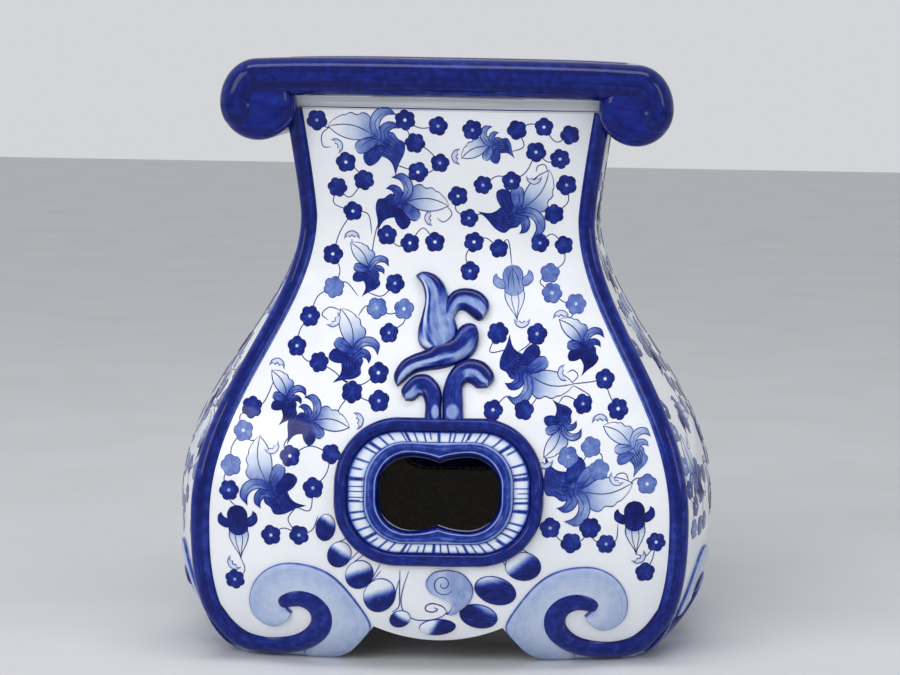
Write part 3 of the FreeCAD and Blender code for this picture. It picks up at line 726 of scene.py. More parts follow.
# Leaf spray, drawn upright from its dark base at 0, 0 to its pale tip at 0, 50
SPRAY_LENGTH = 50.0
LEAF_SMOOTH_EDGE = ((-1.1, 52.3), (-2.6, 45.0), (-2.0, 37.5), (1.0, 30.0), (5.5, 25.0), (9.6, 21.0))
LEAF_LOBED_EDGE = (
    (-1.1, 52.3), (5.0, 50.8), (10.6, 47.4), (11.6, 45.6), (14.9, 43.4), (15.6, 38.8),
    (18.8, 36.6), (19.4, 32.5), (17.0, 28.0), (12.5, 24.5), (9.6, 21.0))
LEAF_RIB = ((-1.1, 52.0), (5.2, 43.8), (8.6, 35.3), (9.4, 24.0))
SPRAY_BODY = (
    ((8.5, 24.0), (2.5, 18.5), (0.0, 13.0), (0.2, 7.0), (-1.5, 2.5), (-6.5, -2.6)),
    ((8.5, 24.0), (14.0, 19.0), (17.4, 13.0), (15.4, 8.0), (15.4, 3.0), (9.5, -0.2), (1.0, -0.9),
     (-6.5, -2.6)),
)
SPRAY_FINGERS = (
    # near edge, far edge, wash from root to tip, lift
    (((7.0, 12.0), (2.0, 11.4), (-5.0, 12.0), (-9.8, 15.0), (-9.6, 19.0)),
     ((7.0, 12.0), (5.0, 18.0), (-1.0, 21.6), (-6.0, 22.2), (-9.6, 19.0)), (0.95, 0.9, 0.95), 0.30),
    (((8.5, 18.0), (3.0, 18.6), (-3.6, 21.5), (-6.2, 25.5), (-4.4, 29.5)),
     ((8.5, 18.0), (7.0, 24.5), (2.5, 29.0), (-1.5, 30.6), (-4.4, 29.5)), (0.85, 0.6, 0.4), 0.36),
    (((7.0, 11.0), (11.0, 11.5), (15.0, 15.2), (18.6, 14.6), (20.4, 12.9), (21.6, 10.5)),
     ((7.0, 11.0), (10.0, 18.6), (15.4, 22.2), (20.9, 20.4), (23.6, 15.6), (21.6, 10.5)),
     (0.9, 0.62, 0.85), 0.30),
    (((8.0, 17.0), (12.0, 18.5), (15.5, 22.0), (20.8, 23.4), (25.5, 21.5), (28.6, 16.5)),
     ((8.0, 17.0), (10.5, 25.8), (17.2, 30.2), (24.6, 29.9), (30.2, 24.5), (28.6, 16.5)),
     (0.85, 0.42, 0.75), 0.36),
)
FINGER_RIBS = (
    ((8.0, 15.0), (2.0, 17.0), (-5.5, 17.6)),
    ((9.0, 20.5), (4.0, 24.0), (-1.0, 26.4)),
    ((10.0, 14.0), (15.5, 18.6), (20.6, 15.6)),
    ((11.0, 20.5), (17.0, 26.2), (24.6, 25.2)),
)
BODY_RIBS = 6

# Bud spray: dark lobed leaf under a pale closed bud, base at 0, 0 and tip at 0, 50
BUD_MASS = ((0.0, -1.0), (-6.0, 0.8), (-9.6, 6.0), (-9.8, 12.0), (-8.4, 17.0), (-9.6, 22.5),
            (-4.5, 27.0), (0.0, 28.0))
BUD_EAR = (
    ((-5.0, 19.5), (-12.5, 20.2), (-19.0, 15.5), (-19.0, 8.5), (-15.5, 5.0)),
    ((-5.0, 19.5), (-8.0, 12.5), (-11.0, 10.8), (-13.6, 9.0), (-15.5, 5.0)),
)
BUD_PETALS = ((-9.2, 22.0), (-9.8, 29.0), (-6.8, 37.0), (-2.2, 45.0), (0.0, 51.0))
BUD_RIBS = (
    ((-2.8, 24.0), (-3.4, 33.0), (-1.2, 43.0), (0.0, 51.0)),
    ((3.4, 24.0), (3.0, 35.0), (0.6, 45.0), (0.0, 51.0)),
)
MOON_BACK = ((-6.2, -1.0), (-4.9, 3.6), (0.0, 6.0), (4.9, 3.6), (6.2, -1.0))
MOON_HOLLOW = ((-6.2, -1.0), (-3.4, 1.6), (-1.8, 0.4), (0.0, 2.0), (1.8, 0.4), (3.4, 1.6), (6.2, -1.0))


def placed(points, base, along, scale, mirror):
    """Points of a motif set on the face from its base and direction."""
    right = (along[1] * mirror, -along[0] * mirror)
    return [(base[0] + (right[0] * x + along[0] * y) * scale,
             base[1] + (right[1] * x + along[1] * y) * scale) for x, y in points]


def brushes(sprigs, face, base, tip, tone, mirror):
    """Ways to paint a motif's shapes and to draw its lines between its base and its tip."""
    run = (tip[0] - base[0], tip[1] - base[1])
    length = math.hypot(*run)
    along = (run[0] / length, run[1] / length)
    edge = min(1.0, 0.35 + 0.62 * tone)

    def lay(points, hand):
        turned = [(x * hand, y) for x, y in points]
        return placed(turned, base, along, length / SPRAY_LENGTH, mirror)

    def paint(port, starboard, lift, wash, hands=(1.0, 1.0)):
        sides = [lay(port, hands[0]), lay(starboard, hands[1])]
        if mirror < 0:
            sides.reverse()
        shape(sprigs, face, *sides, lift, np.array(wash) * tone, edge)

    def draw(line, half, cobalt=edge):
        brush_line(sprigs, face, lay(line, 1.0), half=half, cobalt=cobalt)

    return paint, draw


def leaf_spray(*where):
    """Pale half-lobed leaf on a dark body with four fingers."""
    paint, draw = brushes(*where)
    paint(LEAF_LOBED_EDGE, LEAF_SMOOTH_EDGE, 0.24, (0.02, 0.05, 0.2, 0.5, 0.75))
    paint(SPRAY_BODY[1], SPRAY_BODY[0], 0.18, (0.62, 0.8, 0.88, 0.92))
    for near, far, wash, lift in SPRAY_FINGERS:
        sides = (far, near) if near[-1][0] < 0 else (near, far)
        paint(*sides, lift, wash)
    draw(LEAF_RIB, 0.42)
    for line in FINGER_RIBS:
        draw(line, 0.3)
    for index in range(BODY_RIBS):
        top = 1.5 + 2.4 * index
        line = ((top, 16.5 - abs(index - 2.5)), (top * 0.9 + 0.6, 9.0), (top * 0.55 - 1.0, 2.0))
        draw(line, 0.28, 1.0)


def bud_spray(*where):
    """Pale closed bud on a dark mass with two ears."""
    paint, draw = brushes(*where)
    paint(BUD_PETALS, BUD_PETALS, 0.18, (0.4, 0.12, 0.03, 0.02), (1.0, -1.0))
    paint(*BUD_EAR, 0.24, (0.95, 0.8, 0.95))
    paint(*BUD_EAR[::-1], 0.24, (0.95, 0.8, 0.95), (-1.0, -1.0))
    paint(BUD_MASS, BUD_MASS, 0.32, (1.0, 0.95, 0.85, 0.75), (1.0, -1.0))
    for line in BUD_RIBS:
        draw(line, 0.32)
    for across in (-5.0, 0.0, 5.0):
        draw(((0.0, 2.0), (across * 0.8, 10.0), (across * 1.2, 22.0)), 0.3, 1.0)


def moon(sprigs, face, middle, heading, tone):
    """Pale crescent bud; heading is the way its back looks, in degrees from up."""
    turn = math.radians(heading)
    along = (math.sin(turn), math.cos(turn))
    back, hollow = (placed(line, middle, along, 1.0, 1.0) for line in (MOON_BACK, MOON_HOLLOW))
    shape(sprigs, face, back, hollow, 0.34, np.array((0.3, 0.14, 0.3)) * tone, 0.35 + 0.5 * tone,
          rows=14)


FRONT_LEAVES = (
    # dark base, pale tip, tone, mirror; the lowest tones are partly painted reflection, paler where
    # reflections wash over the glaze
    ((397, 165), (331, 126), 0.85, 1),
    ((379, 221), (446, 205), 1.0, -1),
    ((367, 292), (352, 244), 0.95, 1),
    ((341, 379), (342, 311), 1.0, 1),
    ((284, 421), (273, 372), 1.12, 1),
    ((289, 436), (347, 427), 1.05, -1),
    ((296, 507), (260, 439), 1.0, -1),
    ((511.5, 152.5), (463, 157), 0.8, 1),
    ((487, 217), (548, 173), 0.95, 1),
    ((508, 345), (571, 384), 1.0, 1),
    ((586, 370), (561, 321), 1.12, 1),
    ((558, 404), (545, 456), 0.95, -1),
    ((637, 471), (605, 427), 0.62, 1),
    ((547, 468), (629, 484), 0.9, 1),
)
# Bud sprays, listed like the leaves; the pale 0.5 bud is partly painted reflection
FRONT_BUDS = (
    ((236.5, 506), (241, 558), 1.1, 1),
    ((512, 266), (517, 320), 0.5, 1),
    ((634, 502), (636, 554), 1.1, 1),
)
FRONT_MOONS = (
    # middle, heading of its back, tone; the lowest tones are partly painted reflection, as for the
    # sprays
    ((335.5, 146), 60, 0.8), ((432, 218), -90, 0.8), ((352, 238), 0, 1.0), ((333, 319), 130, 0.7),
    ((459, 156.5), -90, 0.9), ((534, 177), 180, 0.8), ((277, 366), 10, 0.9), ((356, 421), 75, 1.0),
    ((271.5, 446), 150, 0.5), ((235, 562), -135, 0.8), ((522, 320), 180, 0.6),
    ((565, 373), -100, 0.8), ((561, 318), 0, 0.8), ((545, 461), 180, 0.9), ((600, 422), 0, 1.0),
    ((617, 478), -140, 0.7), ((638, 556), 140, 0.9),
)


# Tendrils: fine lines that join sprays, blossoms and crescents
FRONT_TENDRILS = (
    ((317, 120), (326, 127), (331, 126)), ((331, 126), (322, 134), (323, 146), (331, 147)),
    ((446, 205), (452, 214), (444, 222), (437, 218)), ((352, 244), (352, 239)),
    ((342, 311), (330, 307), (322, 314), (328, 320)),
    ((548, 173), (545, 165), (538, 166), (536, 172)),
    ((241, 558), (245, 569), (240, 576), (235, 568)),
    ((571, 384), (578, 376), (573, 370), (567, 373)),
    ((629, 484), (626, 474), (618, 474), (614, 480)), ((397, 165), (405, 168), (418, 172)),
    ((346, 162), (355, 168), (364, 180)), ((337.5, 187), (350, 197), (364, 180)),
    ((337.5, 187), (334, 203), (353, 211)), ((353, 211), (368, 214), (372, 234)),
    ((379, 221), (374, 240), (366, 292)), ((405, 120), (420, 128), (438, 126)),
    ((405, 120), (408, 132), (415, 143)), ((415, 143), (428, 150), (440, 163)),
    ((418, 172), (430, 172), (440, 163)), ((387, 235), (398, 246), (410, 243)),
    ((410, 243), (423, 228), (435, 242)), ((353, 211), (340, 232), (333, 254)),
    ((333, 254), (340, 270), (334, 287)), ((334, 287), (346, 282), (358, 296)),
    ((367, 292), (382, 296), (395, 283.5)), ((377, 308), (366, 306), (358, 316)),
    ((377, 308), (390, 314), (404, 309)), ((404, 309), (404, 322), (389, 333)),
    ((334, 287), (318, 296), (310, 316)), ((310, 316), (300, 330), (297, 346)),
    ((297, 346), (306, 360), (319, 362)), ((319, 362), (335, 372), (341, 379)),
    ((341, 379), (360, 385), (378.5, 373)), ((341, 379), (348, 384), (352, 392)),
    ((352, 392), (366, 400), (379, 401)), ((347, 427), (338, 412), (352, 392)),
    ((252, 407), (264, 402), (275, 378)), ((252, 407), (240, 416), (243.5, 430.5)),
    ((243.5, 430.5), (232, 446), (231, 465)), ((260, 439), (250, 440), (243.5, 430.5)),
    ((231, 465), (224, 478), (229, 490)), ((289, 436), (284, 446), (290, 456)),
    ((290, 456), (310, 446), (331, 454)), ((331, 454), (326, 474), (313, 488)),
    ((296, 507), (310, 510), (313, 488)), ((296, 507), (288, 520), (299, 535)),
    ((271, 535), (284, 528), (299, 535)), ((299, 535), (312, 530), (318, 516)),
    ((235, 568), (238, 574), (235, 579)), ((229, 490), (230, 500), (236, 506)),
    ((472.5, 130), (490, 138), (494, 146)), ((511, 152), (524, 146), (517, 130)),
    ((517, 130), (530, 124), (544, 127)), ((544, 127), (556, 142), (570, 135)),
    ((536, 152), (548, 162), (560, 159)), ((483, 185), (498, 176), (511.5, 181)),
    ((511.5, 181), (526, 172), (536, 152)), ((566.5, 185), (568, 202), (554, 214)),
    ((458, 196), (456, 210), (469, 218)), ((469, 218), (480, 214), (488, 216)),
    ((474, 242), (486, 238), (499, 248.5)), ((499, 248.5), (508, 240), (512, 266)),
    ((474, 242), (466, 256), (470, 271)), ((540, 243), (552, 234), (564, 245)),
    ((564, 245), (564, 262), (550, 273)), ((550, 273), (540, 282), (552, 293)),
    ((552, 293), (564, 302), (576, 304)), ((576, 304), (572, 316), (561, 321)),
    ((498, 333), (490, 352), (512, 348)), ((537, 334), (528, 345), (518, 352)),
    ((571, 384), (590, 396), (583, 404)), ((571, 384), (590, 382), (605, 379)),
    ((605, 379), (610, 396), (618, 409)), ((493, 410), (508, 396), (524, 410)),
    ((524, 410), (534, 402), (548, 378)), ((558, 404), (566, 396), (583, 404)),
    ((568, 457), (580, 464), (591, 447)), ((591, 447), (602, 456), (599, 470)),
    ((629, 484), (638, 478), (647, 484)), ((550, 528), (560, 540), (571, 543)),
    ((571, 543), (582, 540), (590, 528)), ((590, 528), (594, 540), (606, 544)),
    ((606, 544), (616, 540), (618, 524)), ((636, 554), (646, 556), (656, 542)),
    ((656, 542), (652, 560), (645, 572)),
)


# Body panels: rows, and columns up to the cusp, up to the foot and up to the corner
WALL_ROWS = 130
WALL_COLUMNS = (20, 14, 34)
EDGE_STEPS = 12


def edge_turns(face):
    """Where a wall's lower edge leaves the foot and where it turns at the cusp."""
    corner = FOOT_HALF_WIDTH - side_inset(face)
    return corner - FOOT_LENGTH, corner - CUSP_DISTANCE


def apron_edge(face, across):
    """Height of a wall's lower edge at a distance from the middle."""
    across = abs(across)
    foot, cusp = edge_turns(face)
    if across >= cusp:
        share = (foot - across) / (foot - cusp)
        if share <= -FOOT_ROUNDING:
            return 0.0
        if share < FOOT_ROUNDING:
            share = (share + FOOT_ROUNDING) ** 2 / (4.0 * FOOT_ROUNDING)
        return CUSP_HEIGHT * (KNEE_SLOPE * share + (1.0 - KNEE_SLOPE) * share ** 2)
    share = across / cusp
    return APRON_HEIGHT + (CUSP_HEIGHT - APRON_HEIGHT) * share ** 2


def panel_columns(face):
    """Shares of the half width, close together where the lower edge turns."""
    foot, cusp = edge_turns(face)
    foot_share = foot / half_chord(face, 0.0)
    cusp_share = cusp / half_chord(face, CUSP_HEIGHT)
    marks = np.concatenate([
        np.linspace(0.0, cusp_share, WALL_COLUMNS[0])[:-1],
        np.linspace(cusp_share, foot_share, WALL_COLUMNS[1])[:-1],
        np.linspace(foot_share, 1.0, WALL_COLUMNS[2]),
    ])
    return np.concatenate([-marks[:0:-1], marks])


def panel(face):
    """White wall: its outside, its raw inside and the edges between them."""
    shares = panel_columns(face)
    starts = []
    for share in shares:
        low = 0.0
        for _ in range(EDGE_STEPS):
            low = apron_edge(face, share * half_chord(face, low))
        starts.append(low)
    column, row, quads = grid(len(shares), WALL_ROWS)
    low = np.array(starts)[column]
    height = low + (BODY_HEIGHT - low) * row / (WALL_ROWS - 1.0)
    across = shares[column] * half_chord(face, height)
    outside = wrap(face, across, height, np.zeros_like(across))
    wall = new_piece(face + "_wall", outside, quads.tolist())
    wall.data.materials.append(WHITE)
    wall.data.materials.append(CLAY)
    thick = thicken(wall)
    thick.use_even_offset = True
    thick.material_offset = 1
    thick.material_offset_rim = 0
    bpy.ops.object.modifier_apply(modifier="thickness")
    if face in WIDE_FACES:
        cut_hand_hole(wall, face)
    keep_alone(wall)
    bpy.ops.object.shade_smooth_by_angle(angle=WALL_CREASE)
    join_stool(wall, [face + "_panel"])


SIDE_STEPS = 18
CORNER_STEPS = 40
LONG_STEPS = 50


def box_ring(width, height, corner, dip=0.0):
    """Points round a rounded box, anticlockwise from its right side's lower end; a dip
    bends each long side inwards to a point, like a pair of braces."""
    across = width / 2.0 - corner
    up = height / 2.0 - corner
    rise = (2.0 * np.arange(SIDE_STEPS) / SIDE_STEPS - 1.0) * up
    turn = np.arange(CORNER_STEPS) / CORNER_STEPS * math.pi / 2.0
    x = (1.0 - 2.0 * np.arange(LONG_STEPS) / LONG_STEPS) * across
    drop = np.zeros_like(x)
    if dip:
        bend = (across ** 2 + dip ** 2) / (2.0 * dip)
        drop = bend - np.sqrt(bend ** 2 - (across - np.abs(x)) ** 2)
    half = np.concatenate([
        np.stack([np.full_like(rise, width / 2.0), rise], axis=1),
        np.stack([across + corner * np.cos(turn), up + corner * np.sin(turn)], axis=1),
        np.stack([x, height / 2.0 - drop], axis=1),
        np.stack([-across - corner * np.sin(turn), up + corner * np.cos(turn)], axis=1),
    ])
    return np.concatenate([half, -half])


HIDDEN_EDGE = 4.0
CUTTER_DEPTHS = (120.0, 230.0)


def cut_hand_hole(wall, face):
    """Cuts the rounded box that the frame's flute and lip cover."""
    track = box_ring(LIP_WIDTH + HIDDEN_EDGE, LIP_HEIGHT + HIDDEN_EDGE, LIP_CORNER)[::4]
    rightward, outward = FACES[face]
    rings = []
    for depth in CUTTER_DEPTHS:
        ground = track[:, :1] * rightward + depth * outward
        rings.append(np.concatenate([ground, track[:, 1:] + HOLE_MIDDLE], axis=1) * MM)
    count = len(track)
    caps = [tuple(range(count))[::-1], tuple(range(count, 2 * count))]
    cutter = new_piece("hole_cutter", np.concatenate(rings), tube_faces(count, 2) + caps)
    in_edit_mode(face_outwards)
    keep_alone(wall)
    cut = wall.modifiers.new("hand_hole", "BOOLEAN")
    cut.operation = "DIFFERENCE"
    cut.solver = "EXACT"
    cut.object = cutter
    bpy.ops.object.modifier_apply(modifier="hand_hole")
    bpy.data.objects.remove(cutter, do_unlink=True)


# Hand hole frame
def ring_piece(name, face, rings, slot, stroke_marks=()):
    """Ring swept round the hand hole: each ring is an outline, its lift and its cobalt.
    A stroke mark is its first and last ring, its columns and its cobalt."""
    count = len(rings[0][0])
    sprigs = Sprigs(name)
    column, row, quads = grid(count + 1, len(rings))
    column = column % count
    outlines, lifts, cobalt = (np.array(values) for values in zip(*rings))
    places = outlines[row, column]
    load = cobalt[row]
    for first, last, columns, tone in stroke_marks:
        marked = np.isin(column, columns) & (row >= first) & (row <= last)
        load = np.where(marked, np.maximum(load, tone), load)
    strokes = np.stack([row * 1.1, column / 9.0], axis=1)
    sprigs.add(wrap(face, places[:, 0], places[:, 1] + HOLE_MIDDLE, lifts[row]), quads[:, ::-1],
               load, strokes)
    sprigs.finish(slot, [name])


def rings_between(outer, inner, line):
    """Rings at shares of the way from one outline to another, with lift and cobalt."""
    return [(outer + (inner - outer) * share, lift, tone) for share, lift, tone in line]


FLUTE_STROKES = 57
BEAD_RINGS = 15
BEAD_LIFT = 7.5
BEAD_FLOORS = (-1.0, 2.6)
FLUTE_LINE = (
    # share of the way in, lift, cobalt
    (-0.04, 2.4, 1.0), (0.04, 3.3, 0.95), (0.10, 3.2, 0.6), (0.2, 2.9, 0.22), (0.35, 2.4, 0.08),
    (0.5, 2.0, 0.05), (0.65, 1.8, 0.05), (0.8, 1.8, 0.12), (0.9, 2.0, 0.3), (0.97, 2.3, 0.7),
    (1.04, 1.4, 0.9),
)
LIP_LINE = (
    # share of the way in, lift, cobalt; it ends behind the wall. The pale 0.3 ring at 0.80, near the
    # inner edge, is a painted highlight along the lip
    (-0.02, 1.0, 0.3), (0.04, 3.2, 0.25), (0.15, 4.6, 0.42), (0.24, 4.9, 0.82), (0.40, 5.0, 0.66),
    (0.55, 4.4, 0.82), (0.72, 3.2, 0.85), (0.80, 3.0, 0.3), (0.87, 2.7, 0.95), (0.97, 1.2, 1.0),
    (1.0, -0.6, 1.0), (1.0, -4.0, 1.0), (1.0, -8.0, 1.0), (0.96, -9.4, 1.0), (0.6, -9.6, 1.0),
    (0.0, -9.4, 1.0),
)


def flute_strokes(count):
    """Columns that carry a painted stroke; they stand at hand-drawn spacings."""
    chance = random.Random(3)
    full, broad, short = [], [], []
    for index in range(FLUTE_STROKES):
        column = int((index + chance.uniform(-0.25, 0.25)) / FLUTE_STROKES * count) % count
        (short if index % 5 == 2 else full).append(column)
        if index % 4 == 0:
            broad.append((column + 1) % count)
    return full, broad, short


def hand_hole_frame(face):
    """Bead, hollowed flute and lip round one hand hole."""
    outer = box_ring(FRAME_WIDTH, FRAME_HEIGHT, FRAME_CORNER)
    flute_edge = box_ring(FRAME_WIDTH - 2 * FRAME_BEAD, FRAME_HEIGHT - 2 * FRAME_BEAD,
                          FRAME_CORNER - FRAME_BEAD)
    lip_edge = box_ring(LIP_WIDTH, LIP_HEIGHT, LIP_CORNER)
    hole = box_ring(HOLE_WIDTH, HOLE_HEIGHT, HOLE_CORNER, HOLE_DIP)
    bead = []
    for angle in np.linspace(0.0, math.pi, BEAD_RINGS):
        floor = BEAD_FLOORS[0] if angle < math.pi / 2 else BEAD_FLOORS[1]
        bead.append(((1.0 - math.cos(angle)) / 2.0, floor + (BEAD_LIFT - floor) * math.sin(angle),
                     0.88 + 0.12 * abs(math.cos(angle))))
    full, broad, short = flute_strokes(len(outer))
    ring_piece(face + "_frame_bead", face, rings_between(outer, flute_edge, bead), "cobalt_glaze")
    ring_piece(face + "_frame_flute", face, rings_between(flute_edge, lip_edge, FLUTE_LINE),
               "pale_blue_glaze", ((1, 10, full, 0.84), (1, 8, broad, 0.8), (1, 6, short, 0.76)))
    ring_piece(face + "_hole_lip", face, rings_between(lip_edge, hole, LIP_LINE), "cobalt_glaze")


# Coils of clay: ribs and seat rolls
def coil(name, path, radius, out, tint, stretch, segments):
    """Round coil along a path in millimetres; tint gives the cobalt from the angle
    away from the out side and from the row."""
    run = unit_rows(np.gradient(path, axis=0))
    normal = unit_rows(out - run * (run @ out)[:, None])
    side = np.cross(run, normal)
    column, row, quads = grid(segments + 1, len(path))
    angle = column / segments * 2.0 * math.pi
    places = (path[row] + (normal[row] * np.cos(angle)[:, None]
                           + side[row] * np.sin(angle)[:, None]) * radius[row][:, None])
    strokes = np.stack([np.abs(angle - math.pi) * 5.0, distances(path)[row] / stretch], axis=1)
    around = math.pi - np.abs(angle - math.pi)
    sprigs = Sprigs(name)
    sprigs.add(places * MM, quads, tint(around, row), strokes)
    sprigs.finish("cobalt_glaze", [name])


RIB_ROWS = 120

# A rib is paler on its inner slope round the waist
SLOPE_START = 1.35
SLOPE_EDGE = 0.25
SLOPE_HEIGHT = 235.0
SLOPE_REACH = 95.0


def rib(front_side, right_side):
    """Corner coil from its foot to the collar, a little finer at the neck."""
    name = "%s_%s_rib" % ("front" if front_side < 0 else "back",
                          "right" if right_side > 0 else "left")
    heights = np.linspace(RIB_FOOT, BODY_HEIGHT + 1.0, RIB_ROWS)
    corner = half_width(heights) - RIB_INSET
    path = np.stack([corner * right_side, (corner - CORNER_OFFSET) * front_side, heights], axis=1)
    share = (half_width(heights) - NECK_HALF_WIDTH) / (BELLY_HALF_WIDTH - NECK_HALF_WIDTH)
    radius = RIB_NECK_RADIUS + (RIB_BELLY_RADIUS - RIB_NECK_RADIUS) * np.clip(share, 0, 1)
    radius = radius * np.clip((heights - RIB_FOOT) / RIB_TAPER, 0.02, 1.0) ** 0.5

    def tint(around, row):
        slope = np.clip((around - SLOPE_START) / SLOPE_EDGE, 0.0, 1.0)
        waist = np.clip(1.2 - np.abs(heights[row] - SLOPE_HEIGHT) / SLOPE_REACH, 0.0, 1.0)
        return 0.93 - 0.1 * np.cos(around * 5.0) - 0.5 * slope * waist

    out = np.array([right_side, front_side, 0.0]) / math.sqrt(2.0)
    coil(name, path, radius, out, tint, stretch=60.0, segments=24)


CURL_LINE = (
    # distance in from the ground corner, height, half width
    (-34.5, 60.0, 6.0), (-31.0, 46.0, 7.6), (-26.5, 37.0, 8.2), (-17.5, 23.5, 8.4),
    (-5.0, 13.5, 8.0), (10.0, 9.8, 7.3), (24.0, 10.2, 7.4), (38.5, 14.0, 7.6), (49.5, 21.0, 8.2),
    (56.6, 31.0, 9.0), (57.2, 42.0, 9.4), (51.5, 50.0, 8.8), (42.5, 53.5, 7.9), (34.0, 52.5, 7.0),
    (27.5, 49.5, 5.8), (23.5, 47.5, 4.8),
)
CLOUD_FREE_EDGE = (
    # distance in from the ground corner, height
    (34.8, 41.5), (30.5, 34.5), (21.5, 28.5), (11.5, 30.5), (3.5, 39.0), (2.0, 52.0), (6.5, 65.0),
    (17.0, 75.5), (32.0, 80.5), (52.0, 78.5), (68.5, 70.0), (84.5, 51.0), (94.0, 32.5),
    (88.5, 21.5), (80.0, 10.6), (75.0, 6.3), (70.0, 3.2), (64.0, 1.0), (57.0, 0.4),
)
CLOUD_HIDDEN_EDGE = (
    (34.6, 41.1), (33.0, 42.6), (31.5, 44.0), (30.5, 46.0), (31.0, 48.5), (33.5, 50.5),
    (38.0, 52.0), (44.0, 52.0), (50.0, 50.0), (55.5, 43.0), (57.0, 36.0), (55.0, 28.0),
    (49.5, 20.6), (42.0, 10.0), (40.0, 0.5),
)
CLOUD_TONES = ((0.0, 0.42), (0.08, 0.3), (0.3, 0.2), (0.6, 0.25), (0.85, 0.3), (1.0, 0.26))
CLOUD_LIFT = 2.9
FOOT_RIM = (
    # distance in from the ground corner, height, half width
    (60.0, 3.0, 5.0), (50.0, 2.6, 5.0), (20.0, 2.2, 5.0), (2.0, 4.5, 5.0), (-9.0, 9.0, 5.0),
    (-19.0, 18.0, 4.0), (-24.0, 26.0, 2.0),
)
RIM_LIFT = 2.2
CURL_LIFT = 5.0


def mirrored(row):
    """Shares and cobalts of a row, counted from the other edge."""
    return tuple((1.0 - share, cobalt) for share, cobalt in row[::-1])


def foot_scroll(face, hand):
    """Dark curl and pale cloud on one foot; hand is 1 at the viewer's right."""
    corner = FOOT_HALF_WIDTH - side_inset(face)
    name = "%s_face_%s_" % (face, "right" if hand > 0 else "left")

    def lay(line):
        return [(hand * (corner - inwards), *rest) for inwards, *rest in line]

    cloud = Sprigs(name + "cloud")
    free, hidden, tones = lay(CLOUD_FREE_EDGE), lay(CLOUD_HIDDEN_EDGE), CLOUD_TONES
    if hand > 0:
        free, hidden, tones = hidden, free, mirrored(tones)
    relief(cloud, face, hidden[::-1], free[::-1], CLOUD_LIFT, ((0.0, tones),), rows=110,
           columns=31, rounding=5.0, edge=0.66, edge_width=0.8, grain=30.0)
    band(cloud, face, lay(FOOT_RIM), RIM_LIFT, (0.26, 0.24, 0.3), rounding=3.2, columns=9,
         rows=40, edge=0.3)
    cloud.finish("pale_blue_glaze", [name + "cloud"])
    curl = Sprigs(name + "curl")
    band(curl, face, lay(CURL_LINE), CURL_LIFT, (0.95, 0.86, 0.9), rounding=2.2, columns=21,
         rows=90, edge=1.0, edge_width=0.1)
    curl.finish("cobalt_glaze", [name + "curl"])


# Crest over the hand hole: each sprig is two edges in photo pixels, from end to end
CREST_LIFT = 6.0
LEAF_BLADE = (
    ((415, 276.5), (422, 287), (424.5, 302), (421.5, 316.5), (417.7, 331), (418, 343), (425, 351),
     (438, 353)),
    ((415, 276.5), (425, 273), (436, 276.5), (444, 285.6), (448.5, 299), (453, 316), (457.5, 331),
     (454, 344), (438, 353)),
)
BLADE_TONES = (
    (0.0, ((0.0, 1.0), (1.0, 1.0))),
    (0.12, ((0.0, 1.0), (0.12, 1.0), (0.2, 0.1), (0.35, 0.3), (0.6, 0.45), (0.75, 1.0), (1.0, 1.0))),
    (0.3, ((0.0, 1.0), (0.13, 1.0), (0.17, 0.14), (0.26, 0.2), (0.3, 0.9), (0.35, 0.9),
           (0.39, 0.42), (0.52, 0.5), (0.64, 0.4), (0.72, 1.0), (1.0, 1.0))),
    (0.55, ((0.0, 1.0), (0.14, 1.0), (0.18, 0.14), (0.26, 0.2), (0.3, 0.86), (0.34, 0.86),
            (0.38, 0.4), (0.5, 0.52), (0.62, 0.38), (0.76, 0.46), (1.0, 0.42))),
    (0.8, ((0.0, 0.7), (0.06, 0.16), (0.16, 0.2), (0.2, 0.8), (0.25, 0.8), (0.3, 0.4),
           (0.5, 0.5), (0.62, 0.36), (0.78, 0.5), (0.9, 0.5), (0.95, 0.95), (1.0, 1.0))),
    (1.0, ((0.0, 0.7), (0.1, 0.2), (0.2, 0.24), (0.26, 0.8), (0.33, 0.4), (0.5, 0.6), (0.62, 0.4),
           (0.85, 0.5), (0.93, 1.0), (1.0, 1.0))),
)
LEAF_HOOK = (
    ((436, 330), (441, 310), (447, 299), (454, 292), (465, 289.4), (478, 292), (487, 300),
     (489, 309), (483, 320)),
    ((436, 330), (452, 326), (455, 318), (458.5, 312), (464, 312), (470, 316.5), (475, 320.5),
     (479, 322), (483, 320)),
)
HOOK_TONES = (
    (0.0, ((0.0, 1.0), (0.1, 0.45), (1.0, 0.42))),
    (0.3, ((0.0, 1.0), (0.46, 1.0), (0.54, 0.5), (0.7, 0.4), (1.0, 0.5))),
    (0.5, ((0.0, 1.0), (0.38, 1.0), (0.45, 0.5), (0.6, 0.4), (0.75, 0.42), (0.82, 1.0),
           (1.0, 1.0))),
    (0.75, ((0.0, 1.0), (0.3, 1.0), (0.36, 0.5), (0.5, 0.4), (0.7, 0.36), (0.78, 1.0),
            (1.0, 1.0))),
    (1.0, ((0.0, 1.0), (0.2, 1.0), (0.26, 0.5), (0.7, 0.4), (0.8, 1.0), (1.0, 1.0))),
)
SWEEP_EDGES = (
    ((397, 388), (404, 382.5), (410, 377.5), (418, 373.5), (430, 371.5), (441, 370), (452, 367),
     (462, 363), (470, 358.5), (476, 351), (478.8, 342), (477.5, 333)),
    ((397, 388), (393.5, 382), (394.5, 374), (401.7, 363.5), (413.3, 356.7), (426.7, 351.7),
     (435, 343.8), (446, 342), (453, 338), (460, 328.5), (467, 325.2), (474, 327), (477.5, 333)),
)
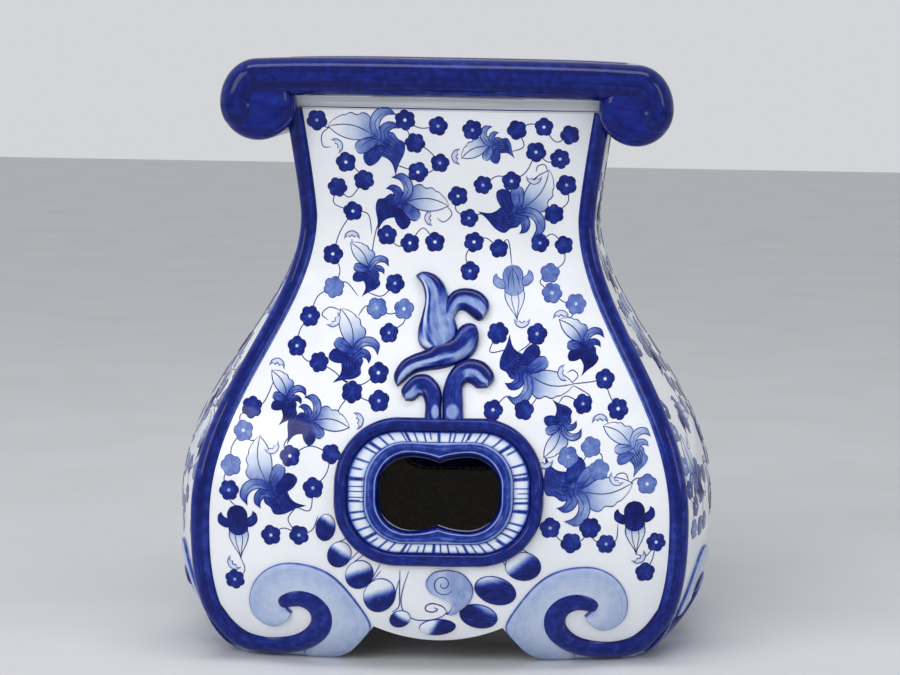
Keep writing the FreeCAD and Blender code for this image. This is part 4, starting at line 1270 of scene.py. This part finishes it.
SWEEP_TONES = (
    (0.0, ((0.0, 0.3), (0.45, 0.25), (0.55, 0.95), (1.0, 1.0))),
    (0.3, ((0.0, 0.95), (0.06, 0.85), (0.12, 0.3), (0.36, 0.36), (0.43, 0.95), (1.0, 1.0))),
    (0.45, ((0.0, 1.0), (0.18, 1.0), (0.24, 0.34), (0.38, 0.38), (0.45, 0.95), (0.7, 1.0),
            (1.0, 1.0))),
    (0.6, ((0.0, 0.8), (0.06, 0.42), (0.28, 0.4), (0.36, 0.95), (1.0, 1.0))),
    (0.75, ((0.0, 0.9), (0.1, 0.45), (0.3, 0.45), (0.4, 0.85), (0.7, 0.8), (1.0, 1.0))),
    (0.86, ((0.0, 0.95), (0.5, 0.8), (1.0, 1.0))),
    (1.0, ((0.0, 1.0), (1.0, 1.0))),
)
LEFT_STEM_EDGES = (
    ((405, 402), (413, 402), (419, 397), (422.5, 399), (424.5, 408), (424, 428), (431, 429)),
    ((405, 402), (400.5, 394), (405, 386), (415, 377.5), (428, 377), (437.5, 385), (441.5, 395),
     (441, 410), (440, 428), (431, 429)),
)
LEFT_STEM_TONES = (
    (0.0, ((0.0, 0.95), (0.1, 0.3), (0.45, 0.42), (0.55, 0.95), (1.0, 1.0))),
    (0.25, ((0.0, 0.9), (0.08, 0.4), (0.4, 0.46), (0.5, 0.95), (0.8, 0.9), (1.0, 1.0))),
    (0.4, ((0.0, 0.6), (0.1, 0.4), (0.2, 1.0), (0.5, 0.85), (1.0, 1.0))),
    (0.55, ((0.0, 1.0), (0.25, 0.95), (0.4, 0.82), (0.8, 0.85), (1.0, 1.0))),
)
RIGHT_STEM_EDGES = (
    ((452, 429), (443, 428), (442, 410), (442.5, 392), (447.5, 377), (456, 366.5), (468.5, 361),
     (483, 363.5), (492, 372.5), (494, 381), (487, 389)),
    ((452, 429), (462, 428), (463, 407), (462.5, 391), (466, 384.5), (471, 385.5), (477, 389.5),
     (487, 389)),
)
RIGHT_STEM_TONES = (
    (0.0, ((0.0, 1.0), (0.15, 0.85), (0.8, 0.78), (1.0, 1.0))),
    (0.5, ((0.0, 1.0), (0.3, 0.85), (0.7, 0.75), (0.85, 0.8), (1.0, 1.0))),
    (0.58, ((0.0, 1.0), (0.5, 0.92), (0.56, 0.42), (0.84, 0.36), (0.9, 1.0), (1.0, 1.0))),
    (0.78, ((0.0, 1.0), (0.5, 0.95), (0.56, 0.4), (0.72, 0.36), (0.8, 0.95), (1.0, 1.0))),
    (1.0, ((0.0, 1.0), (0.4, 0.92), (0.5, 0.3), (0.7, 0.4), (0.8, 0.7), (0.9, 0.2), (1.0, 0.6))),
)
STEM_OVALS = (((435, 416), 2.8, 5.0, 0.4), ((452, 416), 4.6, 5.4, 0.42))
CREST_SPRIGS = (
    # node, relief, edges, tones, spots, whether its first edge lies to the right
    ("_crest_leaf", 6.2, LEAF_HOOK, HOOK_TONES, (), True),
    ("_crest_leaf", 7.0, LEAF_BLADE, BLADE_TONES, (), False),
    ("_crest_petal", 7.3, SWEEP_EDGES, SWEEP_TONES, (), False),
    ("_crest_left_stem", 6.6, LEFT_STEM_EDGES, LEFT_STEM_TONES, STEM_OVALS[:1], False),
    ("_crest_right_stem", 6.8, RIGHT_STEM_EDGES, RIGHT_STEM_TONES, STEM_OVALS[1:], True),
)


def on_face(pixels, lift=0.0):
    return [seen_at(pixel, lift) for pixel in pixels]


def crest(face):
    """Curled leaf, petal and two stems above one hand hole."""
    built = {}
    for node_name, height, edges, tones, spots, turned in CREST_SPRIGS:
        sprigs = built.setdefault(node_name, Sprigs(face + node_name))
        marks = [(seen_at(middle, CREST_LIFT), across, up, cobalt)
                 for middle, across, up, cobalt in spots]
        port, starboard = (on_face(edge, CREST_LIFT) for edge in edges)
        if turned:
            port, starboard = starboard, port
            tones = [(along, mirrored(row)) for along, row in tones]
        relief(sprigs, face, port, starboard, height, tones, rows=90, columns=37,
               edge_width=0.35, spots=marks)
    for node_name, sprigs in built.items():
        slot = "shaded_blue_glaze" if node_name == "_crest_leaf" else "cobalt_glaze"
        sprigs.finish(slot, [face + node_name])


# Ovals that hang round the frame's lower half, and the comma between them
PETALS = (
    # side offset, drop below the hole's middle, half length, half width, lean,
    # way to its white end in degrees from rightwards, how far the blue reaches, stalk
    (-84.0, 27.0, 10.5, 7.6, 10.0, 60.0, 0.75, False),
    (-73.5, 47.0, 10.6, 9.0, 30.0, 60.0, 0.3, True),
    (-58.5, 62.0, 12.0, 10.4, 35.0, 110.0, 0.25, True),
    (-43.5, 78.0, 14.4, 12.0, 25.0, 110.0, 0.2, True),
    (-28.5, 97.0, 8.6, 7.0, 60.0, 60.0, 0.4, False),
    (-0.5, 103.5, 14.2, 7.0, 85.0, 150.0, 0.4, False),
    (30.5, 94.0, 14.8, 10.2, 75.0, 60.0, 0.85, False),
    (43.0, 73.0, 16.4, 11.2, 70.0, 100.0, 0.8, False),
    (63.5, 54.0, 13.8, 11.4, 80.0, 130.0, 0.3, True),
)
OVAL_RINGS = (0.0, 0.25, 0.5, 0.7, 0.84, 0.92, 0.97, 1.0)
OVAL_STEPS = 36
OVAL_WHITE = 0.06
OVAL_BLUE = 0.96
OVAL_RIM = 0.72
OVAL_RIM_START = 0.95
PETAL_LIFT = 2.9
PETAL_STALK = 15.0
COMMA_EDGES = (
    ((448, 570), (433, 573), (425.5, 583), (429.5, 593), (440, 597.5), (451, 602), (450, 611),
     (444, 615)),
    ((448, 570), (463, 574.5), (473, 588), (470, 602), (460, 611), (452, 615), (444, 615)),
)
COMMA_LINES = (
    ((400, 570), (399.5, 590), (399, 606), (392, 612)),
    ((409, 571), (404, 585), (401, 600), (404, 612), (415, 619.5), (430, 620), (441, 617),
     (447, 612)),
)
COMMA_HOOK = ((447.5, 612.5), (442.5, 606.5), (432.5, 603.5), (426, 606), (426, 610.5),
              (432.5, 612), (437.5, 609.5), (433.8, 607.5))
COMMA_LIFT = 2.0
COMMA_TONES = ((0.0, ((0.0, 0.36), (0.3, 0.24), (0.6, 0.4), (1.0, 0.36))),)
SPIRAL_MIDDLE = (443.0, 583.5)
SPIRAL_RADIUS = 11.0
SPIRAL_TURNS = 1.5
SPIRAL_START = 0.6
SPIRAL_POINTS = 28


def oval(sprigs, face, middle, half_length, half_width_mm, turn, white_way, blue_reach, index):
    """Raised oval, deep blue with a white end where the brush left the glaze bare."""
    ring, angle, quads = disc(OVAL_STEPS, OVAL_RINGS)
    x = np.cos(angle) * ring * half_length
    y = np.sin(angle) * ring * half_width_mm
    right = x * math.cos(turn) - y * math.sin(turn)
    up = x * math.sin(turn) + y * math.cos(turn)
    push = (right * math.cos(white_way) + up * math.sin(white_way)) / half_width_mm
    cobalt = np.clip(OVAL_BLUE - (push - blue_reach + 0.35) * 1.5, OVAL_WHITE, OVAL_BLUE)
    cobalt = np.where(ring > OVAL_RIM_START, np.maximum(cobalt, OVAL_RIM), cobalt)
    dome = np.sqrt(np.maximum(1.0 - ring ** 3.0, 0.0))
    lift = -PAINT_DEPTH + (PETAL_LIFT + PAINT_DEPTH) * dome
    strokes = np.stack([y / STROKE_WIDTH + 9.0 * index, x / STROKE_LENGTH], axis=1)
    sprigs.add(wrap(face, middle[0] + right, middle[1] + up, lift), quads, cobalt, strokes)


def stalk_lines(middle, half_width_mm):
    """The two fine lines from an oval's flanks towards the frame."""
    inward = np.array((0.0, HOLE_MIDDLE + 10.0)) - middle
    inward /= np.linalg.norm(inward)
    flank = np.array((-inward[1], inward[0])) * half_width_mm * 0.9
    return [[middle + hand * flank * narrow + inward * PETAL_STALK * along
             for narrow, along in ((1.0, 0.3), (0.85, 0.7), (0.7, 1.2))] for hand in (-1.0, 1.0)]


def spiral():
    """Line of the comma's curl, from its rim inwards."""
    share = np.linspace(0.0, 1.0, SPIRAL_POINTS)
    angle = SPIRAL_START + SPIRAL_TURNS * 2.0 * math.pi * share
    reach = SPIRAL_RADIUS * (1.0 - 0.85 * share)
    return np.stack([SPIRAL_MIDDLE[0] + reach * np.cos(angle),
                     SPIRAL_MIDDLE[1] + reach * np.sin(angle)], axis=1).tolist()


def petals(face):
    """Ovals, their stalks and the comma under one hand hole."""
    sprigs = Sprigs(face + "_petals")
    for index, (side, drop, half_length, half_width_mm, lean, white_way, blue_reach,
                stalk) in enumerate(PETALS):
        turn = math.radians(90.0 - lean if side < 0 else 90.0 + lean)
        middle = np.array((side, HOLE_MIDDLE - drop))
        oval(sprigs, face, middle, half_length, half_width_mm, turn, math.radians(white_way),
             blue_reach, index)
        for line in stalk_lines(middle, half_width_mm) if stalk else ():
            brush_line(sprigs, face, line, lift=0.3, half=0.36, cobalt=0.75)
    for line in COMMA_LINES:
        brush_line(sprigs, face, on_face(line), lift=0.3, half=0.45, cobalt=0.8, rows=30)
    brush_line(sprigs, face, on_face(COMMA_HOOK), lift=0.35, half=0.5, cobalt=0.85, rows=40)
    sprigs.finish("shaded_blue_glaze", [face + "_petals"])
    comma = Sprigs(face + "_comma")
    edges = [on_face(edge, COMMA_LIFT) for edge in COMMA_EDGES]
    relief(comma, face, *edges, PETAL_LIFT, COMMA_TONES, rows=50, rounding=4.0, edge=0.8)
    brush_line(comma, face, on_face(spiral(), COMMA_LIFT), lift=3.0, half=0.45, cobalt=0.85,
               rows=60)
    comma.finish("pale_blue_glaze", [face + "_comma"])


# Seat
SEAT_CREASE = math.radians(40.0)
SCROLL_CREASE = math.radians(60.0)
SCROLL_SIDES = 96
DOME_STEPS = 12


def finish_piece(piece, node_name, material, crease):
    """Glazes one of the seat's plain pieces and fixes it to the stool."""
    keep_alone(piece)
    bpy.ops.object.shade_smooth_by_angle(angle=crease)
    piece.data.materials.append(material)
    join_stool(piece, [node_name])


def end_scroll(name, side):
    """Coil across the seat's end, its upper half pulled up to the seat's crown."""
    deselect_all()
    bpy.ops.mesh.primitive_cylinder_add(
        vertices=SCROLL_SIDES, radius=SCROLL_RADIUS * MM,
        depth=2.0 * (SEAT_HALF_DEPTH + SCROLL_OVERHANG) * MM,
        location=(side * SCROLL_REACH * MM, 0.0, SCROLL_HEIGHT * MM),
        rotation=(math.pi / 2.0, 0.0, 0.0))
    roll = bpy.context.object
    roll.name = roll.data.name = name
    dome = roll.modifiers.new("dome", "BEVEL")
    dome.width = SCROLL_DOME * MM
    dome.segments = DOME_STEPS
    dome.limit_method = "ANGLE"
    dome.angle_limit = SCROLL_CREASE
    bpy.ops.object.modifier_apply(modifier="dome")
    bpy.ops.object.transform_apply(location=True, rotation=True, scale=True)
    pull = (COIL_RISE + ROLL_RADIUS) / SCROLL_RADIUS
    for vertex in roll.data.vertices:
        above = vertex.co.z - SCROLL_HEIGHT * MM
        if above > 0.0:
            vertex.co.z += above * (pull - 1.0)
    finish_piece(roll, name, COBALT, SCROLL_CREASE)


COIL_END = math.radians(-100.0)
COIL_TAPER = 16.0
STRAIGHT_STEPS = 39
CURL_STEPS = 43
ROLL_BANDS = 7.0


def edge_roll(name, side):
    """Roll along the seat's edge; at both ends it bends down and curls under."""
    swing = SCROLL_RADIUS - ROLL_RADIUS
    xs = np.linspace(0.0, SCROLL_REACH, STRAIGHT_STEPS + 1)[:-1]
    half = [(x, crown_height(x) - ROLL_RADIUS) for x in xs]
    for angle in np.linspace(math.pi / 2.0, COIL_END, CURL_STEPS + 1):
        rise = COIL_RISE if angle > 0.0 else swing
        half.append((SCROLL_REACH + swing * math.cos(angle), SCROLL_HEIGHT + rise * math.sin(angle)))
    line = [(-x, z) for x, z in half[:0:-1]] + half
    across = side * (SEAT_HALF_DEPTH - ROLL_RADIUS)
    path = np.array([(x, across, z) for x, z in line])
    count = len(path)
    ends = np.minimum(np.arange(count), np.arange(count)[::-1])
    radius = ROLL_RADIUS * np.clip((ends + 0.5) / COIL_TAPER, 0.03, 1.0) ** 0.5

    # Lighter and darker bands round the roll: brush streaks, and in part painted reflection of the
    # light and dark bands a glazed roll mirrors
    def tint(around, row):
        return 0.98 - 0.07 * np.cos(around * ROLL_BANDS)

    coil(name, path, radius, np.array([0.0, side, 0.0]), tint, stretch=130.0, segments=40)


SLAB_COLUMNS = 61
SLAB_ROWS = 9


def seat_slab():
    """Crowned slab between the end scrolls and the edge rolls."""
    column, row, quads = grid(SLAB_COLUMNS, SLAB_ROWS)
    x = (2.0 * column / (SLAB_COLUMNS - 1) - 1.0) * SCROLL_REACH
    y = (2.0 * row / (SLAB_ROWS - 1) - 1.0) * (SEAT_HALF_DEPTH - ROLL_RADIUS)
    top = wrap("seat", x, y, np.zeros_like(x))
    slab = new_piece("seat_slab", top, quads.tolist())
    down = {"value": (0.0, 0.0, -SEAT_THICKNESS * MM)}
    in_edit_mode(lambda: bpy.ops.mesh.extrude_region_move(TRANSFORM_OT_translate=down))
    for vertex in slab.data.vertices:
        if vertex.co.z < top[:, 2].min() - MM:
            vertex.co.z = (BODY_HEIGHT + COLLAR_HEIGHT) * MM
    in_edit_mode(face_outwards)
    finish_piece(slab, "seat_slab", WHITE, SEAT_CREASE)


COLLAR_RINGS = 7
COLLAR_STEPS = 24


def neck_collar():
    """White cove between the neck and the seat's rolls, hollow like the neck."""
    outline = []
    for face in FACES:
        chord = half_chord(face, BODY_HEIGHT)
        for share in np.linspace(-1.0, 1.0, COLLAR_STEPS + 1)[:-1]:
            outline.append((face, chord, share * chord))
    places = []
    for share in np.linspace(0.0, 1.0, COLLAR_RINGS):
        grow = COLLAR_FLARE * (1.0 - math.sqrt(1.0 - share ** 2))
        for face, chord, across in outline:
            rightward, outward = FACES[face]
            depth = face_depth(face, across, BODY_HEIGHT) + grow
            ground = rightward * across * (chord + grow) / chord + outward * depth
            places.append((*ground, BODY_HEIGHT + COLLAR_HEIGHT * share))
    collar = new_piece("neck_collar_cove", np.array(places) * MM,
                       tube_faces(len(outline), COLLAR_RINGS))
    thicken(collar)
    bpy.ops.object.modifier_apply(modifier="thickness")
    # The cove's grey glaze is painted shade under the seat
    finish_piece(collar, "neck_collar", COVE_PAINTED_SHADE, SEAT_CREASE)


# Painted faces: how far a blossom and a spray keep from other blossoms and from sprays
BLOSSOM_ROOM = (16.5, 23.0)
SPRAY_ROOM = (23.0, 36.0)
TENDRIL_ROOM = 14.0


def paint_motifs(face, tendrils, dark, pale, leaves, buds, moons):
    """Tendrils, blossoms and sprays of one face, all given in its own millimetres."""
    lines = Sprigs(face + "_tendrils")
    for line in tendrils:
        brush_line(lines, face, line, lift=0.12, half=0.45, cobalt=0.9)
    lines.finish("cobalt_glaze")
    flowers = Sprigs(face + "_blossoms")
    blossoms(flowers, face, dark, 1.0)
    # The 0.62 tone of the paler blossoms is painted reflection
    blossoms(flowers, face, pale, 0.62)
    flowers.finish("cobalt_glaze")
    sprays = Sprigs(face + "_leaf_sprays")
    for base, tip, tone, mirror in leaves:
        leaf_spray(sprays, face, base, tip, tone, mirror)
    for base, tip, tone, mirror in buds:
        bud_spray(sprays, face, base, tip, tone, mirror)
    for middle, heading, tone in moons:
        moon(sprays, face, middle, heading, tone)
    sprays.finish("shaded_blue_glaze")


def front_motifs():
    """The front's motifs, placed where the photo shows them."""
    def with_ends_placed(sprays):
        return [(seen_at(base), seen_at(tip), tone, mirror) for base, tip, tone, mirror in sprays]

    return (
        [on_face(line) for line in FRONT_TENDRILS], on_face(DARK_BLOSSOMS), on_face(BLOSSOMS_PALED_AS_PAINTED_REFLECTION),
        with_ends_placed(FRONT_LEAVES), with_ends_placed(FRONT_BUDS),
        [(seen_at(middle), heading, tone) for middle, heading, tone in FRONT_MOONS],
    )


def spread_motifs(face, moves, fits):
    """The front's motifs moved to another face, each kept where it fits and has room."""
    tendrils, dark, pale, leaves, buds, moons = front_motifs()
    kept = [[] for _ in range(6)]
    taken = []

    def room(place, needs):
        return all(math.dist(place, other) > needs[is_spray] for other, is_spray in taken)

    def near(place, ends):
        return any(math.dist(place, end) < TENDRIL_ROOM for end in ends)

    for move in moves:
        ends = []
        for group, slot in ((leaves, 3), (buds, 4)):
            for base, tip, tone, mirror in group:
                low, high = move(base), move(tip)
                middle = ((low[0] + high[0]) / 2.0, (low[1] + high[1]) / 2.0)
                if fits(low) and fits(high) and room(middle, SPRAY_ROOM):
                    kept[slot].append((low, high, tone, mirror))
                    taken.append((middle, True))
                    ends += [low, high]
        for group, slot in ((dark, 1), (pale, 2)):
            for place in group:
                moved = move(place)
                if fits(moved) and room(moved, BLOSSOM_ROOM):
                    kept[slot].append(moved)
                    taken.append((moved, False))
                    ends.append(moved)
        for place, heading, tone in moons:
            moved = move(place)
            if near(moved, ends):
                kept[5].append((moved, heading, tone))
        for line in tendrils:
            moved = [move(place) for place in line]
            if near(moved[0], ends) and near(moved[-1], ends):
                kept[0].append(moved)
    paint_motifs(face, *kept)


TOP_LINE_RISE = 1.8
TOP_LINE_MARGIN = 7.0


def top_line(face):
    """Thin line where the wall ends and the cove begins."""
    height = BODY_HEIGHT + TOP_LINE_RISE
    reach = half_chord(face, height) - TOP_LINE_MARGIN
    sprigs = Sprigs(face + "_top_line")
    brush_line(sprigs, face, [(share * reach, height) for share in (-1.0, -0.5, 0.0, 0.5, 1.0)],
               lift=0.45, half=0.45, cobalt=0.85, rows=40)
    sprigs.finish("shaded_blue_glaze")


SIDE_SQUEEZE = 0.8
SIDE_MARGIN = 16.0
SIDE_FOOT_LINE = 92.0
SIDE_TOP_LINE = BODY_HEIGHT - 12.0
SIDE_DROPS = (0.0, 175.0, 75.0, 130.0)
SEAT_REACH = (104.0, 78.0)
SEAT_MIDDLES = (335.0, 205.0)


def side_painting(face):
    """Side wall: the front's sprays drawn closer together, the middle filled from the neck."""
    def fits(place):
        return (SIDE_FOOT_LINE < place[1] < SIDE_TOP_LINE
                and abs(place[0]) < half_chord(face, place[1]) - SIDE_MARGIN)

    spread_motifs(face, [
        lambda place, drop=drop: (place[0] * SIDE_SQUEEZE, place[1] - drop) for drop in SIDE_DROPS
    ], fits)


def seat_painting():
    """Seat's white top: sprays and blossoms between the rolls."""
    def fits(place):
        return abs(place[0]) < SEAT_REACH[0] and abs(place[1]) < SEAT_REACH[1]

    spread_motifs("seat", [
        lambda place, turn=turn, middle=middle: (turn * place[0], turn * (place[1] - middle))
        for middle in SEAT_MIDDLES for turn in (1.0, -1.0)
    ], fits)


# Stage
def stage():
    """Pale floor that the stool stands on."""
    deselect_all()
    bpy.ops.mesh.primitive_plane_add(size=12.0, location=(0.0, 2.0, 0.0))
    floor = bpy.context.object
    floor.name = "pale_floor"
    material, tree, place = new_material("pale_floor_paint")
    colour = colour_ramp(tree, noise(tree, place, 6.0, 2.0), ((0.3, "#DBDCDE"), (0.7, "#E0E1E3")))
    paint = node(tree, "ShaderNodeBsdfPrincipled", Base_Color=colour, Roughness=0.7)
    node(tree, "ShaderNodeOutputMaterial", Surface=paint.outputs["BSDF"])
    floor.data.materials.append(material)


def lamp(kind, name, place, heading, power):
    deselect_all()
    bpy.ops.object.light_add(type=kind, location=place)
    made = bpy.context.object
    made.name = name
    made.data.energy = power
    made.rotation_euler = heading.to_track_quat("-Z", "Y").to_euler()
    return made


def softbox(name, place, aim, width, height, power):
    box = lamp("AREA", name, place, Vector(aim) - Vector(place), power)
    box.data.shape = "RECTANGLE"
    box.data.size = width
    box.data.size_y = height


def lights():
    """Soft sun from the upper left, two windows and a light box overhead."""
    sky = lamp("SUN", "open_sky", (-2.0, -4.0, 4.0), Vector((0.42, 1.0, -0.64)), 0.75)
    sky.data.angle = math.radians(36.0)
    sky.visible_glossy = False
    softbox("window_left", (-1.5, -1.6, 1.3), (0.0, 0.0, 0.3), 0.9, 1.3, 11.0)
    softbox("window_right", (1.7, -1.4, 1.1), (0.0, 0.0, 0.3), 0.6, 1.2, 6.0)
    softbox("ceiling_box", (0.0, -0.5, 1.9), (0.0, 0.0, 0.45), 1.8, 0.5, 11.0)


def soft_room():
    """Pale room: softer where it lights the stool than where it is seen or reflected."""
    world = bpy.data.worlds.new("soft_room")
    bpy.context.scene.world = world
    world.use_nodes = True
    tree = world.node_tree
    tree.nodes.clear()
    rays = node(tree, "ShaderNodeLightPath").outputs
    shiny = maths(tree, "MAXIMUM", rays["Is Glossy Ray"], rays["Is Transmission Ray"])
    direct = maths(tree, "MAXIMUM", rays["Is Camera Ray"], shiny)
    light = node(tree, "ShaderNodeBackground", Color=linear("#E4E7EC"), Strength=0.5)
    seen = node(tree, "ShaderNodeBackground", Color=linear("#D3D5D8"), Strength=1.0)
    mix = node(tree, "ShaderNodeMixShader", Fac=direct)
    tree.links.new(light.outputs[0], mix.inputs[1])
    tree.links.new(seen.outputs[0], mix.inputs[2])
    node(tree, "ShaderNodeOutputWorld", Surface=mix.outputs[0])


add_camera()
for each_face in FACES:
    panel(each_face)
    top_line(each_face)
    for each_hand in (-1.0, 1.0):
        foot_scroll(each_face, each_hand)
for each_face in WIDE_FACES:
    hand_hole_frame(each_face)
    crest(each_face)
    petals(each_face)
    paint_motifs(each_face, *front_motifs())
for each_face in ("right", "left"):
    side_painting(each_face)
seat_painting()
for each_front in (-1.0, 1.0):
    for each_right in (-1.0, 1.0):
        rib(each_front, each_right)
end_scroll("left_scroll", -1.0)
end_scroll("right_scroll", 1.0)
edge_roll("front_roll", -1.0)
edge_roll("back_roll", 1.0)
seat_slab()
neck_collar()
stage()
lights()
soft_room()
bpy.context.scene.view_settings.view_transform = "Standard"
